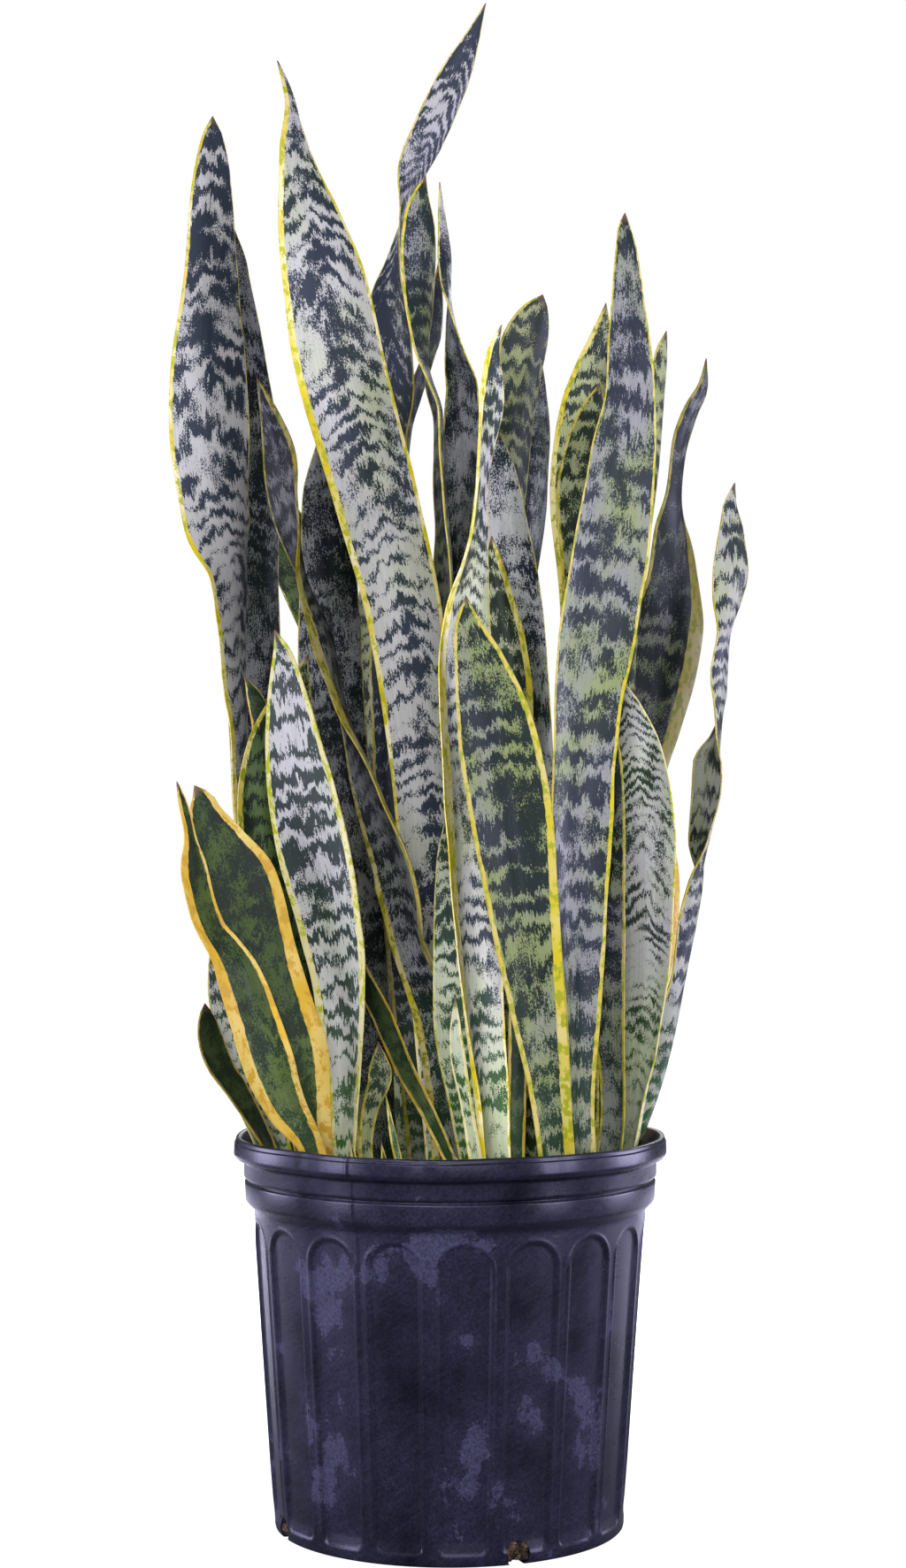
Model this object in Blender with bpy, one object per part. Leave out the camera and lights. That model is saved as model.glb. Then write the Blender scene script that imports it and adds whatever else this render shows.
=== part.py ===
"""A snake plant in a black nursery pot.

The frame stands on the floor: +Z up, the origin at the middle of the pot's base, -Y towards
the front. Sizes in the tables below are millimetres, and MM turns them into metres.
"""

import math

import bmesh
import bpy
from mathutils import Matrix, Vector

MM = 0.001

# Gap that two touching pieces keep.
TOUCH_GAP = 0.3

# Pot: a thin moulded wall, turned about Z. Below its lip it steps in to a neck, a ring and then
# the tapered body, each by its own step from the rim's radius.
POT_HEIGHT = 248.0
RIM_RADIUS = 138.0
LIP_WIDTH = 5.0
LIP_HEIGHT = 12.0
NECK_STEP = 6.5
NECK_HEIGHT = 14.0
GROOVE_DEPTH = 2.0
GROOVE_HEIGHT = 1.5
RING_STEP = 7.0
RING_HEIGHT = 13.0
SHOULDER_STEP = 13.0
SHOULDER_DROP = 5.0
BASE_RADIUS = 111.0
BASE_ROUND = 2.5
WALL = 2.0
FLOOR_THICKNESS = 3.0

# Arched panels pressed into the tapered body, with a narrow upright between neighbours.
PANELS = 18
PANEL_TURN = 4.3
UPRIGHT_ANGLE = 4.0
PANEL_STEP_ANGLE = 1.5
PANEL_DEPTH = 1.2
PANEL_BOTTOM = 8.0
PANEL_TOP = 196.0
PANEL_END_SLOPE = 4.0

# Drain holes, cut through the corner where the wall meets the base.
DRAIN_HOLES = 4
DRAIN_HOLE_RADIUS = 8.0
DRAIN_HOLE_HEIGHT = 6.5
DRAIN_HOLE_TURN = 22.0
DRAIN_HOLE_REACH = 24.0
DRAIN_HOLE_SIDES = 24

# Potting mix.
SOIL_BELOW_RIM = 26.0
SOIL_CLEARANCE = 0.5

# Leaf blades. Thickness is at the midrib. The cup is a blade's depth as a share of its width.
BLADE_THICKNESS = 3.2
SLIM_BLADE_SHARE = 0.35
THINNEST_BLADE = 0.5
CUP_AT_BASE = 0.30
CUP_AT_MIDDLE = 0.12
CUP_AT_TIP = 0.05
MIDRIB_SHARE_OF_CUP = 0.4

# Cross-sections along a blade: one about every spacing, and closer together near the tip.
STATION_SPACING = 46.0
FEWEST_STATIONS = 6
TIP_CROWDING = 1.3
SLOPE_STEPS = 200

SMOOTH_ANGLE = 35.0

# Mouth radius of the pot that the table of leaves is drawn for. The plant grows with its pot.
MOUTH_RADIUS_IN_TABLE = 133.0

SOIL_TOP = POT_HEIGHT - SOIL_BELOW_RIM
LEAF_FOOT = SOIL_TOP + TOUCH_GAP
RIM_MOUTH_RADIUS = RIM_RADIUS - LIP_WIDTH
NECK_RADIUS = RIM_RADIUS - NECK_STEP
RING_RADIUS = RIM_RADIUS - RING_STEP
SHOULDER_RADIUS = RIM_RADIUS - SHOULDER_STEP
GROWTH = RIM_MOUTH_RADIUS / MOUTH_RADIUS_IN_TABLE

# Each leaf blade, from its foot on the mix to its tip. A row is
# (height, across, depth, width, turn): the midrib's place, with its height above the rim, the
# blade's width there, and how far its face has turned about the midrib, in degrees. At 0 the
# face looks to the front, and a positive turn takes the right-hand margin backwards.
FOOT = TOUCH_GAP - SOIL_BELOW_RIM
LEAVES = {
    "leaf_tall_left": ("silver", (
        (FOOT, -88, 34, 30, 55), (205, -133, 36, 34, 84), (297, -138, 32, 44, 76),
        (360, -141, 26, 52, 66), (392, -148, 22, 56, 46), (469, -155, 18, 56, 28),
        (560, -154, 18, 38, 32), (618, -154, 20, 26, 25), (646, -154, 22, 14, 22), (659, -154, 22, 0, 20))),
    "leaf_tall_left_rear": ("dusk", (
        (FOOT, -78, 74, 30, 25), (217, -127, 76, 36, 25), (352, -131, 78, 40, 30),
        (452, -132, 78, 38, 28), (514, -137, 78, 30, 28), (572, -144, 77, 19, 25),
        (597, -144, 76, 0, 25))),
    "leaf_twisted_left": ("dusk", (
        (FOOT, 6, -20, 30, -40), (71, -6, -24, 32, -38), (127, -24, -33, 36, -53),
        (160, -29, -50, 52, -60), (216, -48, -52, 52, -70), (272, -68, -46, 50, -90),
        (316, -78, -40, 48, -103), (352, -92, -36, 48, -90), (383, -99, -35, 46, -71),
        (405, -103, -35, 42, -59), (427, -106, -35, 34, -50), (449, -111, -35, 22, -47),
        (480, -121, -35, 0, -45))),
    "leaf_broad_silver": ("silver", (
        (FOOT, 2, 14, 30, 20), (82, -4, 2, 38, 18), (216, -14, -14, 42, 18),
        (328, -27, -20, 50, 18), (407, -46, -20, 56, 18), (497, -70, -20, 60, 18),
        (541, -78, -20, 56, 18), (586, -89, -20, 42, 22), (609, -94, -20, 31, 30),
        (632, -98, -20, 22, 42), (654, -100, -20, 14, 60), (670, -104, -20, 9, 62),
        (684, -109, -20, 0, 60))),
    "leaf_tallest": ("silver", (
        (FOOT, -12, 26, 26, 160), (172, -28, 32, 36, 150), (332, -36, 36, 46, 130), (447, -40, 37, 48, 126),
        (482, -37, 36, 50, 130), (516, -38, 35, 48, 130), (542, -39, 34, 44, 122), (568, -35, 32, 42, 104),
        (597, -30, 30, 40, 90), (620, -25, 30, 38, 70), (643, -15, 30, 34, 56),
        (666, -5, 30, 29, 44), (689, 5, 30, 23, 38), (712, 15, 30, 12, 40),
        (735, 24, 30, 0, 40))),
    "leaf_slim_centre": ("slate", (
        (FOOT, 6, 38, 24, 110), (82, 4, 30, 34, 110), (272, 0, 14, 42, 108), (352, -2, 6, 44, 104),
        (432, -6, 2, 40, 96), (460, -7, 0, 40, 95), (485, -14, 0, 38, 90),
        (500, -17, 0, 38, 79), (522, -18, 0, 38, 67), (545, -19, 0, 36, 56),
        (568, -19, 0, 32, 46), (590, -19, 0, 24, 45), (602, -18, 0, 14, 45),
        (615, -15, 0, 0, 45))),
    "leaf_slim_rear": ("slate", (
        (FOOT, -6, 84, 18, 50), (312, -36, 80, 24, 75), (416, -32, 78, 26, 78),
        (462, -28, 77, 26, 80), (486, -22, 76, 26, 72), (509, -14, 75, 26, 76),
        (527, -10, 74, 24, 66), (550, -8, 74, 16, 60), (574, -7, 74, 0, 60))),
    "leaf_dark_centre_left": ("dusk", (
        (FOOT, 24, 66, 30, 150), (232, 8, 64, 44, 130), (368, 9, 62, 48, 125),
        (402, 9, 60, 48, 122), (449, 10, 57, 46, 124), (484, 10, 54, 40, 120),
        (507, 5, 50, 34, 112), (539, 0, 46, 28, 90), (554, -2, 44, 24, 74),
        (577, -3, 42, 16, 60), (600, -5, 40, 8, 60), (620, -6, 40, 0, 60))),
    "leaf_centre_twisted": ("silver", (
        (FOOT, 28, -66, 26, 56), (24, 23, -68, 36, 60), (79, 18, -66, 42, 56),
        (134, 14, -64, 48, 52), (243, 9, -62, 54, 51), (292, 7, -62, 54, 52),
        (325, 9, -62, 52, 58), (358, 14, -62, 48, 70), (380, 17, -62, 44, 78),
        (402, 19, -62, 40, 80), (435, 22, -62, 34, 72), (467, 26, -62, 26, 57),
        (489, 27, -62, 14, 54), (508, 32, -62, 0, 54))),
    "leaf_banded_centre": ("olive", (
        (FOOT, 40, 30, 26, 40), (232, 36, 30, 38, 48), (377, 36, 27, 40, 50),
        (446, 41, 25, 42, 50), (504, 48, 25, 42, 44), (527, 55, 25, 28, 40),
        (537, 59, 25, 14, 40), (543, 61, 25, 0, 40))),
    "leaf_banded_centre_rear": ("dusk", (
        (FOOT, 50, 74, 26, 30), (232, 46, 72, 34, 50), (351, 49, 68, 34, 55),
        (416, 57, 66, 33, 55), (451, 58, 66, 32, 52), (480, 59, 66, 24, 52),
        (503, 62, 66, 0, 50))),
    "leaf_dark_centre": ("dusk", (
        (FOOT, 50, 2, 28, 10), (102, 48, 0, 34, 12), (216, 48, -2, 40, 15),
        (318, 41, -4, 44, 15), (358, 38, -4, 40, 15), (392, 35, -3, 31, 15),
        (426, 33, -2, 19, 15), (452, 31, 0, 0, 15))),
    "leaf_short_centre": ("olive", (
        (FOOT, 54, -26, 22, -40), (52, 46, -28, 26, -40), (216, 41, -30, 32, -42),
        (283, 39, -31, 38, -42), (316, 35, -31, 36, -45), (339, 31, -31, 28, -45),
        (361, 28, -31, 18, -45), (380, 27, -31, 0, -45))),
    "leaf_front_centre": ("slate", (
        (FOOT, 66, -84, 22, 22), (28, 61, -92, 26, 22), (82, 53, -97, 35, 20),
        (162, 42, -100, 48, 20), (215, 35, -100, 54, 20), (242, 30, -100, 52, 20),
        (269, 25, -100, 46, 20), (296, 18, -100, 33, 20), (322, 11, -100, 15, 20),
        (337, 10, -100, 0, 20))),
    "leaf_tall_right": ("slate", (
        (FOOT, 80, -46, 26, 60), (51, 79, -50, 34, 58), (95, 79, -52, 42, 54),
        (183, 79, -55, 50, 40), (260, 83, -55, 52, 36), (326, 92, -55, 58, 32),
        (381, 101, -55, 56, 32), (425, 107, -55, 50, 34), (469, 112, -55, 40, 38),
        (512, 111, -55, 31, 38), (556, 110, -55, 17, 38), (571, 109, -55, 9, 38),
        (579, 109, -55, 0, 38))),
    "leaf_right_rear": ("olive", (
        (FOOT, 74, 18, 26, 25), (202, 84, 10, 34, 25), (336, 88, 6, 36, 28),
        (410, 86, 5, 46, 26), (444, 88, 5, 44, 26), (466, 90, 5, 40, 26),
        (489, 94, 5, 30, 26), (512, 98, 5, 16, 26), (534, 101, 5, 0, 26))),
    "leaf_right_middle": ("olive", (
        (FOOT, 84, -14, 20, 20), (232, 84, -20, 24, 20), (356, 84, -22, 29, 20),
        (406, 82, -22, 31, 20), (434, 86, -22, 29, 20), (457, 91, -22, 21, 20),
        (478, 95, -22, 0, 20))),
    "leaf_slim_right": ("olive", (
        (FOOT, 98, 8, 18, 30), (152, 108, 8, 22, 50), (232, 112, 4, 24, 62), (329, 118, -4, 24, 66),
        (397, 127, -10, 24, 70), (431, 131, -10, 24, 70), (476, 134, -10, 24, 68),
        (499, 136, -10, 16, 60), (513, 139, -10, 0, 60))),
    "leaf_hooked_right": ("slate", (
        (FOOT, 98, 36, 26, 30), (188, 116, 32, 40, 25), (239, 124, 30, 46, 25),
        (262, 130, 30, 48, 24), (296, 138, 30, 52, 20), (330, 144, 30, 53, 25),
        (358, 147, 30, 48, 40), (387, 147, 30, 44, 54), (415, 148, 30, 36, 72),
        (444, 151, 30, 30, 68), (466, 158, 30, 22, 64), (484, 166, 30, 14, 60),
        (502, 168, 30, 0, 60))),
    "leaf_outer_right": ("silver", (
        (FOOT, 112, 24, 20, 62), (-7, 120, 22, 24, 66), (45, 137, 17, 28, 68),
        (102, 149, 16, 30, 70), (159, 160, 15, 32, 74), (188, 163, 15, 34, 106),
        (216, 167, 15, 34, 116), (236, 168, 15, 34, 116), (256, 173, 15, 32, 90),
        (296, 176, 15, 32, 68), (319, 178, 15, 30, 70), (342, 181, 15, 30, 52),
        (365, 183, 15, 32, 40), (382, 182, 15, 28, 42), (402, 182, 15, 15, 42),
        (419, 185, 15, 0, 42))),
    "leaf_front_right": ("white", (
        (FOOT, 110, -14, 22, -58), (25, 118, -14, 30, -56), (59, 121, -15, 38, -48),
        (126, 124, -15, 46, -36), (188, 123, -15, 48, -32), (216, 122, -15, 46, -32),
        (244, 119, -15, 38, -32), (272, 114, -15, 20, -35), (290, 110, -15, 0, -35))),
    "leaf_narrow_right": ("slate", (
        (FOOT, 100, -34, 20, -40), (21, 104, -36, 19, -40), (77, 102, -36, 22, -40),
        (132, 102, -36, 22, -40), (188, 103, -36, 19, -40), (233, 104, -36, 12, -40),
        (258, 105, -36, 0, -40))),
    "leaf_front_left": ("white", (
        (FOOT, -64, -58, 20, -50), (24, -64, -60, 28, -42), (79, -65, -62, 37, -36),
        (134, -72, -62, 46, -30), (188, -84, -62, 52, -28), (216, -90, -62, 49, -28),
        (243, -95, -62, 42, -28), (270, -99, -62, 32, -28), (303, -103, -62, 14, -28),
        (319, -108, -62, 0, -28))),
    "leaf_left_middle": ("green", (
        (FOOT, -78, -16, 24, 25), (77, -94, -26, 28, 30), (132, -105, -29, 36, 30),
        (182, -114, -30, 42, 28), (216, -116, -30, 39, 28), (249, -114, -30, 29, 28),
        (280, -112, -30, 0, 28))),
    "leaf_golden_left": ("golden", (
        (FOOT, -82, -55, 20, 22), (-1, -85, -64, 25, 22), (53, -93, -78, 38, 20),
        (107, -112, -82, 44, 20), (161, -130, -82, 51, 16), (189, -142, -82, 33, 16),
        (205, -149, -82, 21, 16), (213, -151, -82, 15, 16), (222, -156, -82, 0, 16))),
    "leaf_golden_outer": ("golden", (
        (FOOT, -80, -73, 15, 30), (1, -86, -76, 17, 28), (28, -101, -89, 28, 30),
        (55, -111, -98, 33, 24), (82, -119, -100, 31, 24), (108, -128, -102, 30, 34),
        (122, -136, -102, 28, 48), (135, -145, -102, 26, 58), (162, -153, -102, 25, 56),
        (175, -155, -102, 20, 52), (191, -157, -102, 12, 64), (213, -162, -102, 7, 50),
        (224, -165, -102, 0, 50))),
    "leaf_small_outer_left": ("golden_dark", (
        (FOOT, -106, -48, 12, 55), (0, -114, -52, 14, 60), (15, -122, -55, 18, 60),
        (32, -132, -55, 22, 58), (51, -144, -55, 22, 50), (67, -149, -55, 19, 45),
        (79, -151, -55, 12, 45), (87, -152, -55, 0, 45))),
    "leaf_pale_outer_left": ("white", (
        (FOOT, -106, -24, 18, 20), (-1, -113, -28, 23, 22), (49, -129, -32, 30, 20),
        (88, -137, -34, 30, 20), (118, -141, -35, 21, 20), (140, -145, -35, 0, 20))),
    "leaf_leaning": ("golden_dark", (
        (FOOT, 8, -52, 8, -40), (14, -10, -50, 12, -40), (50, -29, -46, 16, -40),
        (78, -41, -44, 17, -40), (111, -58, -42, 14, -40), (152, -72, -40, 0, -40))),
    "leaf_pale_centre": ("white", (
        (FOOT, 21, -45, 20, -12), (24, 13, -46, 26, -12), (79, 2, -53, 24, -14),
        (134, 1, -56, 22, -16), (176, 0, -47, 16, -12), (204, -2, -46, 0, -12))),
    "leaf_small_centre": ("white", (
        (FOOT, 20, -98, 10, -20), (28, 11, -98, 10, -45), (55, 6, -98, 12, -42),
        (76, 4, -98, 8, -42), (93, 4, -98, 0, -42))),
    "leaf_short_left_rear": ("golden_dark", (
        (FOOT, -100, 2, 18, 10), (216, -114, -4, 20, 15), (261, -119, -5, 15, 20),
        (278, -124, -5, 11, 20), (293, -131, -5, 0, 20))),
    "leaf_small_left": ("olive", (
        (FOOT, -62, -36, 16, 10), (216, -88, -42, 20, 10), (271, -93, -42, 15, 15),
        (294, -92, -42, 8, 20), (305, -88, -42, 0, 20))),
    "leaf_mottled_left": ("dusk", (
        (FOOT, -46, 24, 30, 20), (159, -62, 24, 40, 20), (239, -73, 24, 44, 18),
        (308, -77, 23, 43, 18), (360, -78, 23, 38, 20), (412, -82, 25, 28, 20),
        (451, -85, 25, 0, 20))),
    "leaf_olive_left": ("olive", (
        (FOOT, -34, 60, 26, -20), (129, -36, 66, 36, -20), (217, -39, 66, 34, -20),
        (298, -46, 64, 28, -20), (345, -53, 62, 17, -20), (368, -57, 62, 0, -20))),
    "leaf_green_rear": ("green", (
        (FOOT, -30, 92, 26, 15), (172, -38, 100, 38, 8), (282, -58, 103, 44, 5),
        (354, -90, 104, 42, 5), (407, -117, 103, 30, 5), (454, -136, 102, 0, 0))),
    "leaf_curled_left": ("olive", (
        (FOOT, -50, -66, 10, 35), (1, -52, -64, 10, 35), (23, -49, -63, 12, 30),
        (43, -43, -62, 16, 25), (64, -44, -62, 0, 20))),
    "leaf_thin_centre": ("golden_dark", (
        (FOOT, 40, -48, 12, 25), (52, 42, -48, 14, 35), (102, 43, -47, 14, 35),
        (162, 46, -46, 0, 35))),
    "leaf_thin_right": ("golden_dark", (
        (FOOT, 76, 2, 12, 15), (23, 84, 0, 14, 20), (57, 89, -1, 15, 25),
        (91, 90, -2, 12, 25), (125, 91, -2, 0, 25))),
    "leaf_hidden_right": ("golden", (
        (FOOT, 84, 57, 22, 20), (6, 95, 60, 24, 20), (52, 118, 62, 34, 20), (152, 134, 62, 42, 18),
        (202, 132, 62, 30, 18), (252, 126, 62, 0, 18))),
    "shoot_left": ("golden_dark", (
        (FOOT, -52, -98, 5, 20), (-12, -56, -98, 5, 20), (8, -60, -98, 0, 20))),
    "shoot_thin": ("green", (
        (FOOT, -24, -102, 5, 30), (0, -32, -100, 5, 30), (37, -39, -98, 0, 30))),
    "shoot_centre": ("green", (
        (FOOT, -36, -108, 6, 10), (-12, -38, -108, 5, 10), (8, -41, -108, 0, 10))),
    "shoot_yellow": ("yellow", (
        (FOOT, 10, -112, 7, 20), (-14, 8, -112, 7, 20), (2, 1, -112, 0, 20))),
}

# Plain colours (red, green, blue), roughness and metallic of each finish.
FINISHES = {
    "black_plastic": ((0.016, 0.015, 0.026), 0.45, 0.0),
    "potting_mix": ((0.045, 0.028, 0.018), 0.95, 0.0),
    "silver": ((0.36, 0.40, 0.31), 0.45, 0.0),
    "slate": ((0.12, 0.16, 0.15), 0.45, 0.0),
    "dusk": ((0.06, 0.07, 0.07), 0.5, 0.0),
    "white": ((0.52, 0.55, 0.46), 0.45, 0.0),
    "olive": ((0.20, 0.23, 0.10), 0.45, 0.0),
    "green": ((0.05, 0.09, 0.04), 0.45, 0.0),
    "golden": ((0.32, 0.25, 0.05), 0.45, 0.0),
    "golden_dark": ((0.12, 0.12, 0.04), 0.45, 0.0),
    "yellow": ((0.60, 0.48, 0.08), 0.45, 0.0),
}


def clear_scene():
    for thing in list(bpy.data.objects):
        bpy.data.objects.remove(thing)


def finish_material(name):
    colour, roughness, metallic = FINISHES[name]
    material = bpy.data.materials.new(name)
    material.use_nodes = True
    shader = material.node_tree.nodes["Principled BSDF"]
    shader.inputs["Base Color"].default_value = (*colour, 1.0)
    shader.inputs["Roughness"].default_value = roughness
    shader.inputs["Metallic"].default_value = metallic
    return material


def new_object(name, shape, finish):
    """A smooth-shaded object made of a bmesh that is in millimetres."""
    bmesh.ops.scale(shape, vec=(MM, MM, MM), verts=shape.verts)
    bmesh.ops.recalc_face_normals(shape, faces=shape.faces)
    mesh = bpy.data.meshes.new(name)
    shape.to_mesh(mesh)
    shape.free()
    mesh.shade_smooth()
    mesh.set_sharp_from_angle(angle=math.radians(SMOOTH_ANGLE))
    mesh.materials.append(finish_material(finish))
    made = bpy.data.objects.new(name, mesh)
    bpy.context.scene.collection.objects.link(made)
    return made


def bridge(shape, lower, upper):
    """A band of quads between two rings that have the same number of points."""
    count = len(lower)
    for i in range(count):
        j = (i + 1) % count
        shape.faces.new((lower[i], lower[j], upper[j], upper[i]))


def close_to_point(shape, ring, point):
    top = shape.verts.new(point)
    count = len(ring)
    for i in range(count):
        shape.faces.new((ring[i], ring[(i + 1) % count], top))


# ---- pot and potting mix ----

def panel_columns():
    """Directions of the pot's points, in degrees, and whether each lies inside a panel."""
    pitch = 360.0 / PANELS
    edge = (pitch - UPRIGHT_ANGLE) / 2
    inner = edge - PANEL_STEP_ANGLE
    columns = []
    for panel in range(PANELS):
        middle = -90.0 + PANEL_TURN + panel * pitch
        columns += [(middle - edge, False), (middle - inner, True)]
        columns += [(middle + inner, True), (middle + edge, False)]
    return columns


def turned_ring(shape, radius, height, panel_depth=0.0):
    points = []
    for angle, pressed_in in panel_columns():
        reach = radius - (panel_depth if pressed_in else 0.0)
        turn = math.radians(angle)
        points.append(shape.verts.new((reach * math.cos(turn), reach * math.sin(turn), height)))
    return points


def body_radius(height):
    """Outer radius of the tapered body at a height."""
    shoulder = ring_bottom() - SHOULDER_DROP
    share = (height - BASE_ROUND) / (shoulder - BASE_ROUND)
    return BASE_RADIUS + share * (SHOULDER_RADIUS - BASE_RADIUS)


def ring_top():
    return POT_HEIGHT - LIP_HEIGHT - NECK_HEIGHT - GROOVE_HEIGHT


def ring_bottom():
    return ring_top() - RING_HEIGHT


def outer_profile():
    """(radius, height, panel depth) up the outside of the pot, from the base to the mouth."""
    neck_top = POT_HEIGHT - LIP_HEIGHT
    neck_bottom = neck_top - NECK_HEIGHT
    shoulder = ring_bottom() - SHOULDER_DROP
    panel_low = PANEL_BOTTOM + PANEL_END_SLOPE
    panel_high = PANEL_TOP - PANEL_END_SLOPE
    return [
        (BASE_RADIUS - BASE_ROUND, 0.0, 0.0),
        (BASE_RADIUS, BASE_ROUND, 0.0),
        (body_radius(PANEL_BOTTOM), PANEL_BOTTOM, 0.0),
        (body_radius(panel_low), panel_low, PANEL_DEPTH),
        (body_radius(panel_high), panel_high, PANEL_DEPTH),
        (body_radius(PANEL_TOP), PANEL_TOP, 0.0),
        (SHOULDER_RADIUS, shoulder, 0.0),
        (RING_RADIUS, ring_bottom(), 0.0),
        (RING_RADIUS, ring_top(), 0.0),
        (NECK_RADIUS - GROOVE_DEPTH, ring_top() + GROOVE_HEIGHT / 2, 0.0),
        (NECK_RADIUS, neck_bottom, 0.0),
        (NECK_RADIUS, neck_top - 2 * WALL, 0.0),
        (RIM_RADIUS - WALL, neck_top - WALL, 0.0),
        (RIM_RADIUS, neck_top, 0.0),
        (RIM_RADIUS, POT_HEIGHT - WALL / 2, 0.0),
        (RIM_RADIUS - WALL / 2, POT_HEIGHT, 0.0),
    ]


def inner_profile():
    """(radius, height) down the inside of the pot, from the mouth to the floor."""
    neck_top = POT_HEIGHT - LIP_HEIGHT
    shoulder = ring_bottom() - SHOULDER_DROP
    wall = WALL + PANEL_DEPTH
    return [
        (RIM_MOUTH_RADIUS + WALL / 2, POT_HEIGHT),
        (RIM_MOUTH_RADIUS, POT_HEIGHT - WALL / 2),
        (NECK_RADIUS - GROOVE_DEPTH - WALL, neck_top - WALL),
        (NECK_RADIUS - GROOVE_DEPTH - WALL, ring_bottom() + WALL),
        (SHOULDER_RADIUS - wall, shoulder),
        (body_radius(FLOOR_THICKNESS) - wall, FLOOR_THICKNESS),
    ]


def drain_hole_cutter(index):
    """A short cylinder that points outwards through the corner of the base."""
    turn = math.radians(-90.0 + DRAIN_HOLE_TURN + index * 360.0 / DRAIN_HOLES)
    shape = bmesh.new()
    bmesh.ops.create_cone(
        shape, cap_ends=True, segments=DRAIN_HOLE_SIDES, radius1=DRAIN_HOLE_RADIUS * MM,
        radius2=DRAIN_HOLE_RADIUS * MM, depth=DRAIN_HOLE_REACH * MM)
    lay_down = Matrix.Rotation(turn, 4, "Z") @ Matrix.Rotation(math.radians(90), 4, "Y")
    bmesh.ops.transform(shape, matrix=lay_down, verts=shape.verts)
    middle = Vector((math.cos(turn), math.sin(turn), 0)) * BASE_RADIUS * MM
    middle.z = DRAIN_HOLE_HEIGHT * MM
    bmesh.ops.translate(shape, vec=middle, verts=shape.verts)
    mesh = bpy.data.meshes.new("drain_hole_cutter")
    shape.to_mesh(mesh)
    shape.free()
    cutter = bpy.data.objects.new(f"drain_hole_cutter_{index}", mesh)
    bpy.context.scene.collection.objects.link(cutter)
    cutter.hide_render = True
    cutter.display_type = "WIRE"
    return cutter


def build_pot():
    shape = bmesh.new()
    outer = [turned_ring(shape, *row) for row in outer_profile()]
    inner = [turned_ring(shape, *row) for row in inner_profile()]
    rings = outer + inner
    for lower, upper in zip(rings, rings[1:]):
        bridge(shape, lower, upper)
    close_to_point(shape, outer[0], (0, 0, 0))
    close_to_point(shape, inner[-1], (0, 0, FLOOR_THICKNESS))
    pot = new_object("pot", shape, "black_plastic")
    for index in range(DRAIN_HOLES):
        cut = pot.modifiers.new(f"drain_hole_{index}", "BOOLEAN")
        cut.operation = "DIFFERENCE"
        cut.solver = "MANIFOLD"
        cut.object = drain_hole_cutter(index)


def build_soil():
    """The mix fills the pot's inside, a clearance away from its wall and floor."""
    inside = [(radius - SOIL_CLEARANCE, height) for radius, height in inner_profile()[2:]]
    inside = [row for row in inside if row[1] < SOIL_TOP]
    floor_radius = inside[-1][0]
    inside[-1] = (floor_radius, FLOOR_THICKNESS + SOIL_CLEARANCE)
    top_radius = NECK_RADIUS - GROOVE_DEPTH - WALL - SOIL_CLEARANCE
    shape = bmesh.new()
    rings = [turned_ring(shape, *row) for row in [(top_radius, SOIL_TOP)] + inside]
    for upper, lower in zip(rings, rings[1:]):
        bridge(shape, upper, lower)
    close_to_point(shape, rings[0], (0, 0, SOIL_TOP))
    close_to_point(shape, rings[-1], (0, 0, FLOOR_THICKNESS + SOIL_CLEARANCE))
    new_object("soil", shape, "potting_mix")


# ---- leaves ----

def slope(left, right, gap_left, gap_right):
    """Slope at a middle point that never overshoots its neighbours."""
    if left * right <= 0:
        return 0.0
    heavy_left = 2 * gap_right + gap_left
    heavy_right = gap_right + 2 * gap_left
    return (heavy_left + heavy_right) / (heavy_left / left + heavy_right / right)


def smooth_value(knots, values, at):
    """The value at a distance, on the smooth curve through the knots."""
    gaps = [b - a for a, b in zip(knots, knots[1:])]
    rises = [(b - a) / gap for a, b, gap in zip(values, values[1:], gaps)]
    slopes = [rises[0]]
    for i in range(1, len(rises)):
        slopes.append(slope(rises[i - 1], rises[i], gaps[i - 1], gaps[i]))
    slopes.append(rises[-1])
    i = 0
    while i < len(gaps) - 1 and at > knots[i + 1]:
        i += 1
    t = (at - knots[i]) / gaps[i]
    return (
        (1 + 2 * t) * (1 - t) ** 2 * values[i]
        + t * (1 - t) ** 2 * gaps[i] * slopes[i]
        + t * t * (3 - 2 * t) * values[i + 1]
        - t * t * (1 - t) * gaps[i] * slopes[i + 1])


class Blade:
    """The smooth midrib, width and turn of one leaf."""

    def __init__(self, rows):
        self.places = [
            Vector((across * GROWTH, depth * GROWTH, POT_HEIGHT + height * GROWTH))
            for height, across, depth, _, _ in rows]
        self.places[0].z = LEAF_FOOT
        self.widths = [row[3] * GROWTH for row in rows]
        self.turns = [row[4] for row in rows]
        self.knots = [0.0]
        for a, b in zip(self.places, self.places[1:]):
            self.knots.append(self.knots[-1] + (b - a).length)
        self.length = self.knots[-1]
        # The cupped side looks to the middle of the plant.
        self.cup_side = 1.0 if self.places[0].y < 0 else -1.0

    def midrib(self, at):
        return Vector([smooth_value(self.knots, [p[axis] for p in self.places], at)
                       for axis in range(3)])

    def width(self, at):
        return max(0.0, smooth_value(self.knots, self.widths, at))

    def axes(self, at):
        """Directions across the blade and out of its face, at a distance from the foot."""
        step = self.length / SLOPE_STEPS
        low = self.midrib(max(0.0, at - step))
        along = (self.midrib(min(self.length, at + step)) - low).normalized()
        across = Vector((0, -1, 0)).cross(along).normalized()
        turn = math.radians(smooth_value(self.knots, self.turns, at))
        across = Matrix.Rotation(turn, 3, along) @ across
        return across, across.cross(along).normalized()

    def cup(self, at):
        halves = 2 * at / self.length
        if halves < 1:
            return CUP_AT_BASE + (CUP_AT_MIDDLE - CUP_AT_BASE) * halves
        return CUP_AT_MIDDLE + (CUP_AT_TIP - CUP_AT_MIDDLE) * (halves - 1)


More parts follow.
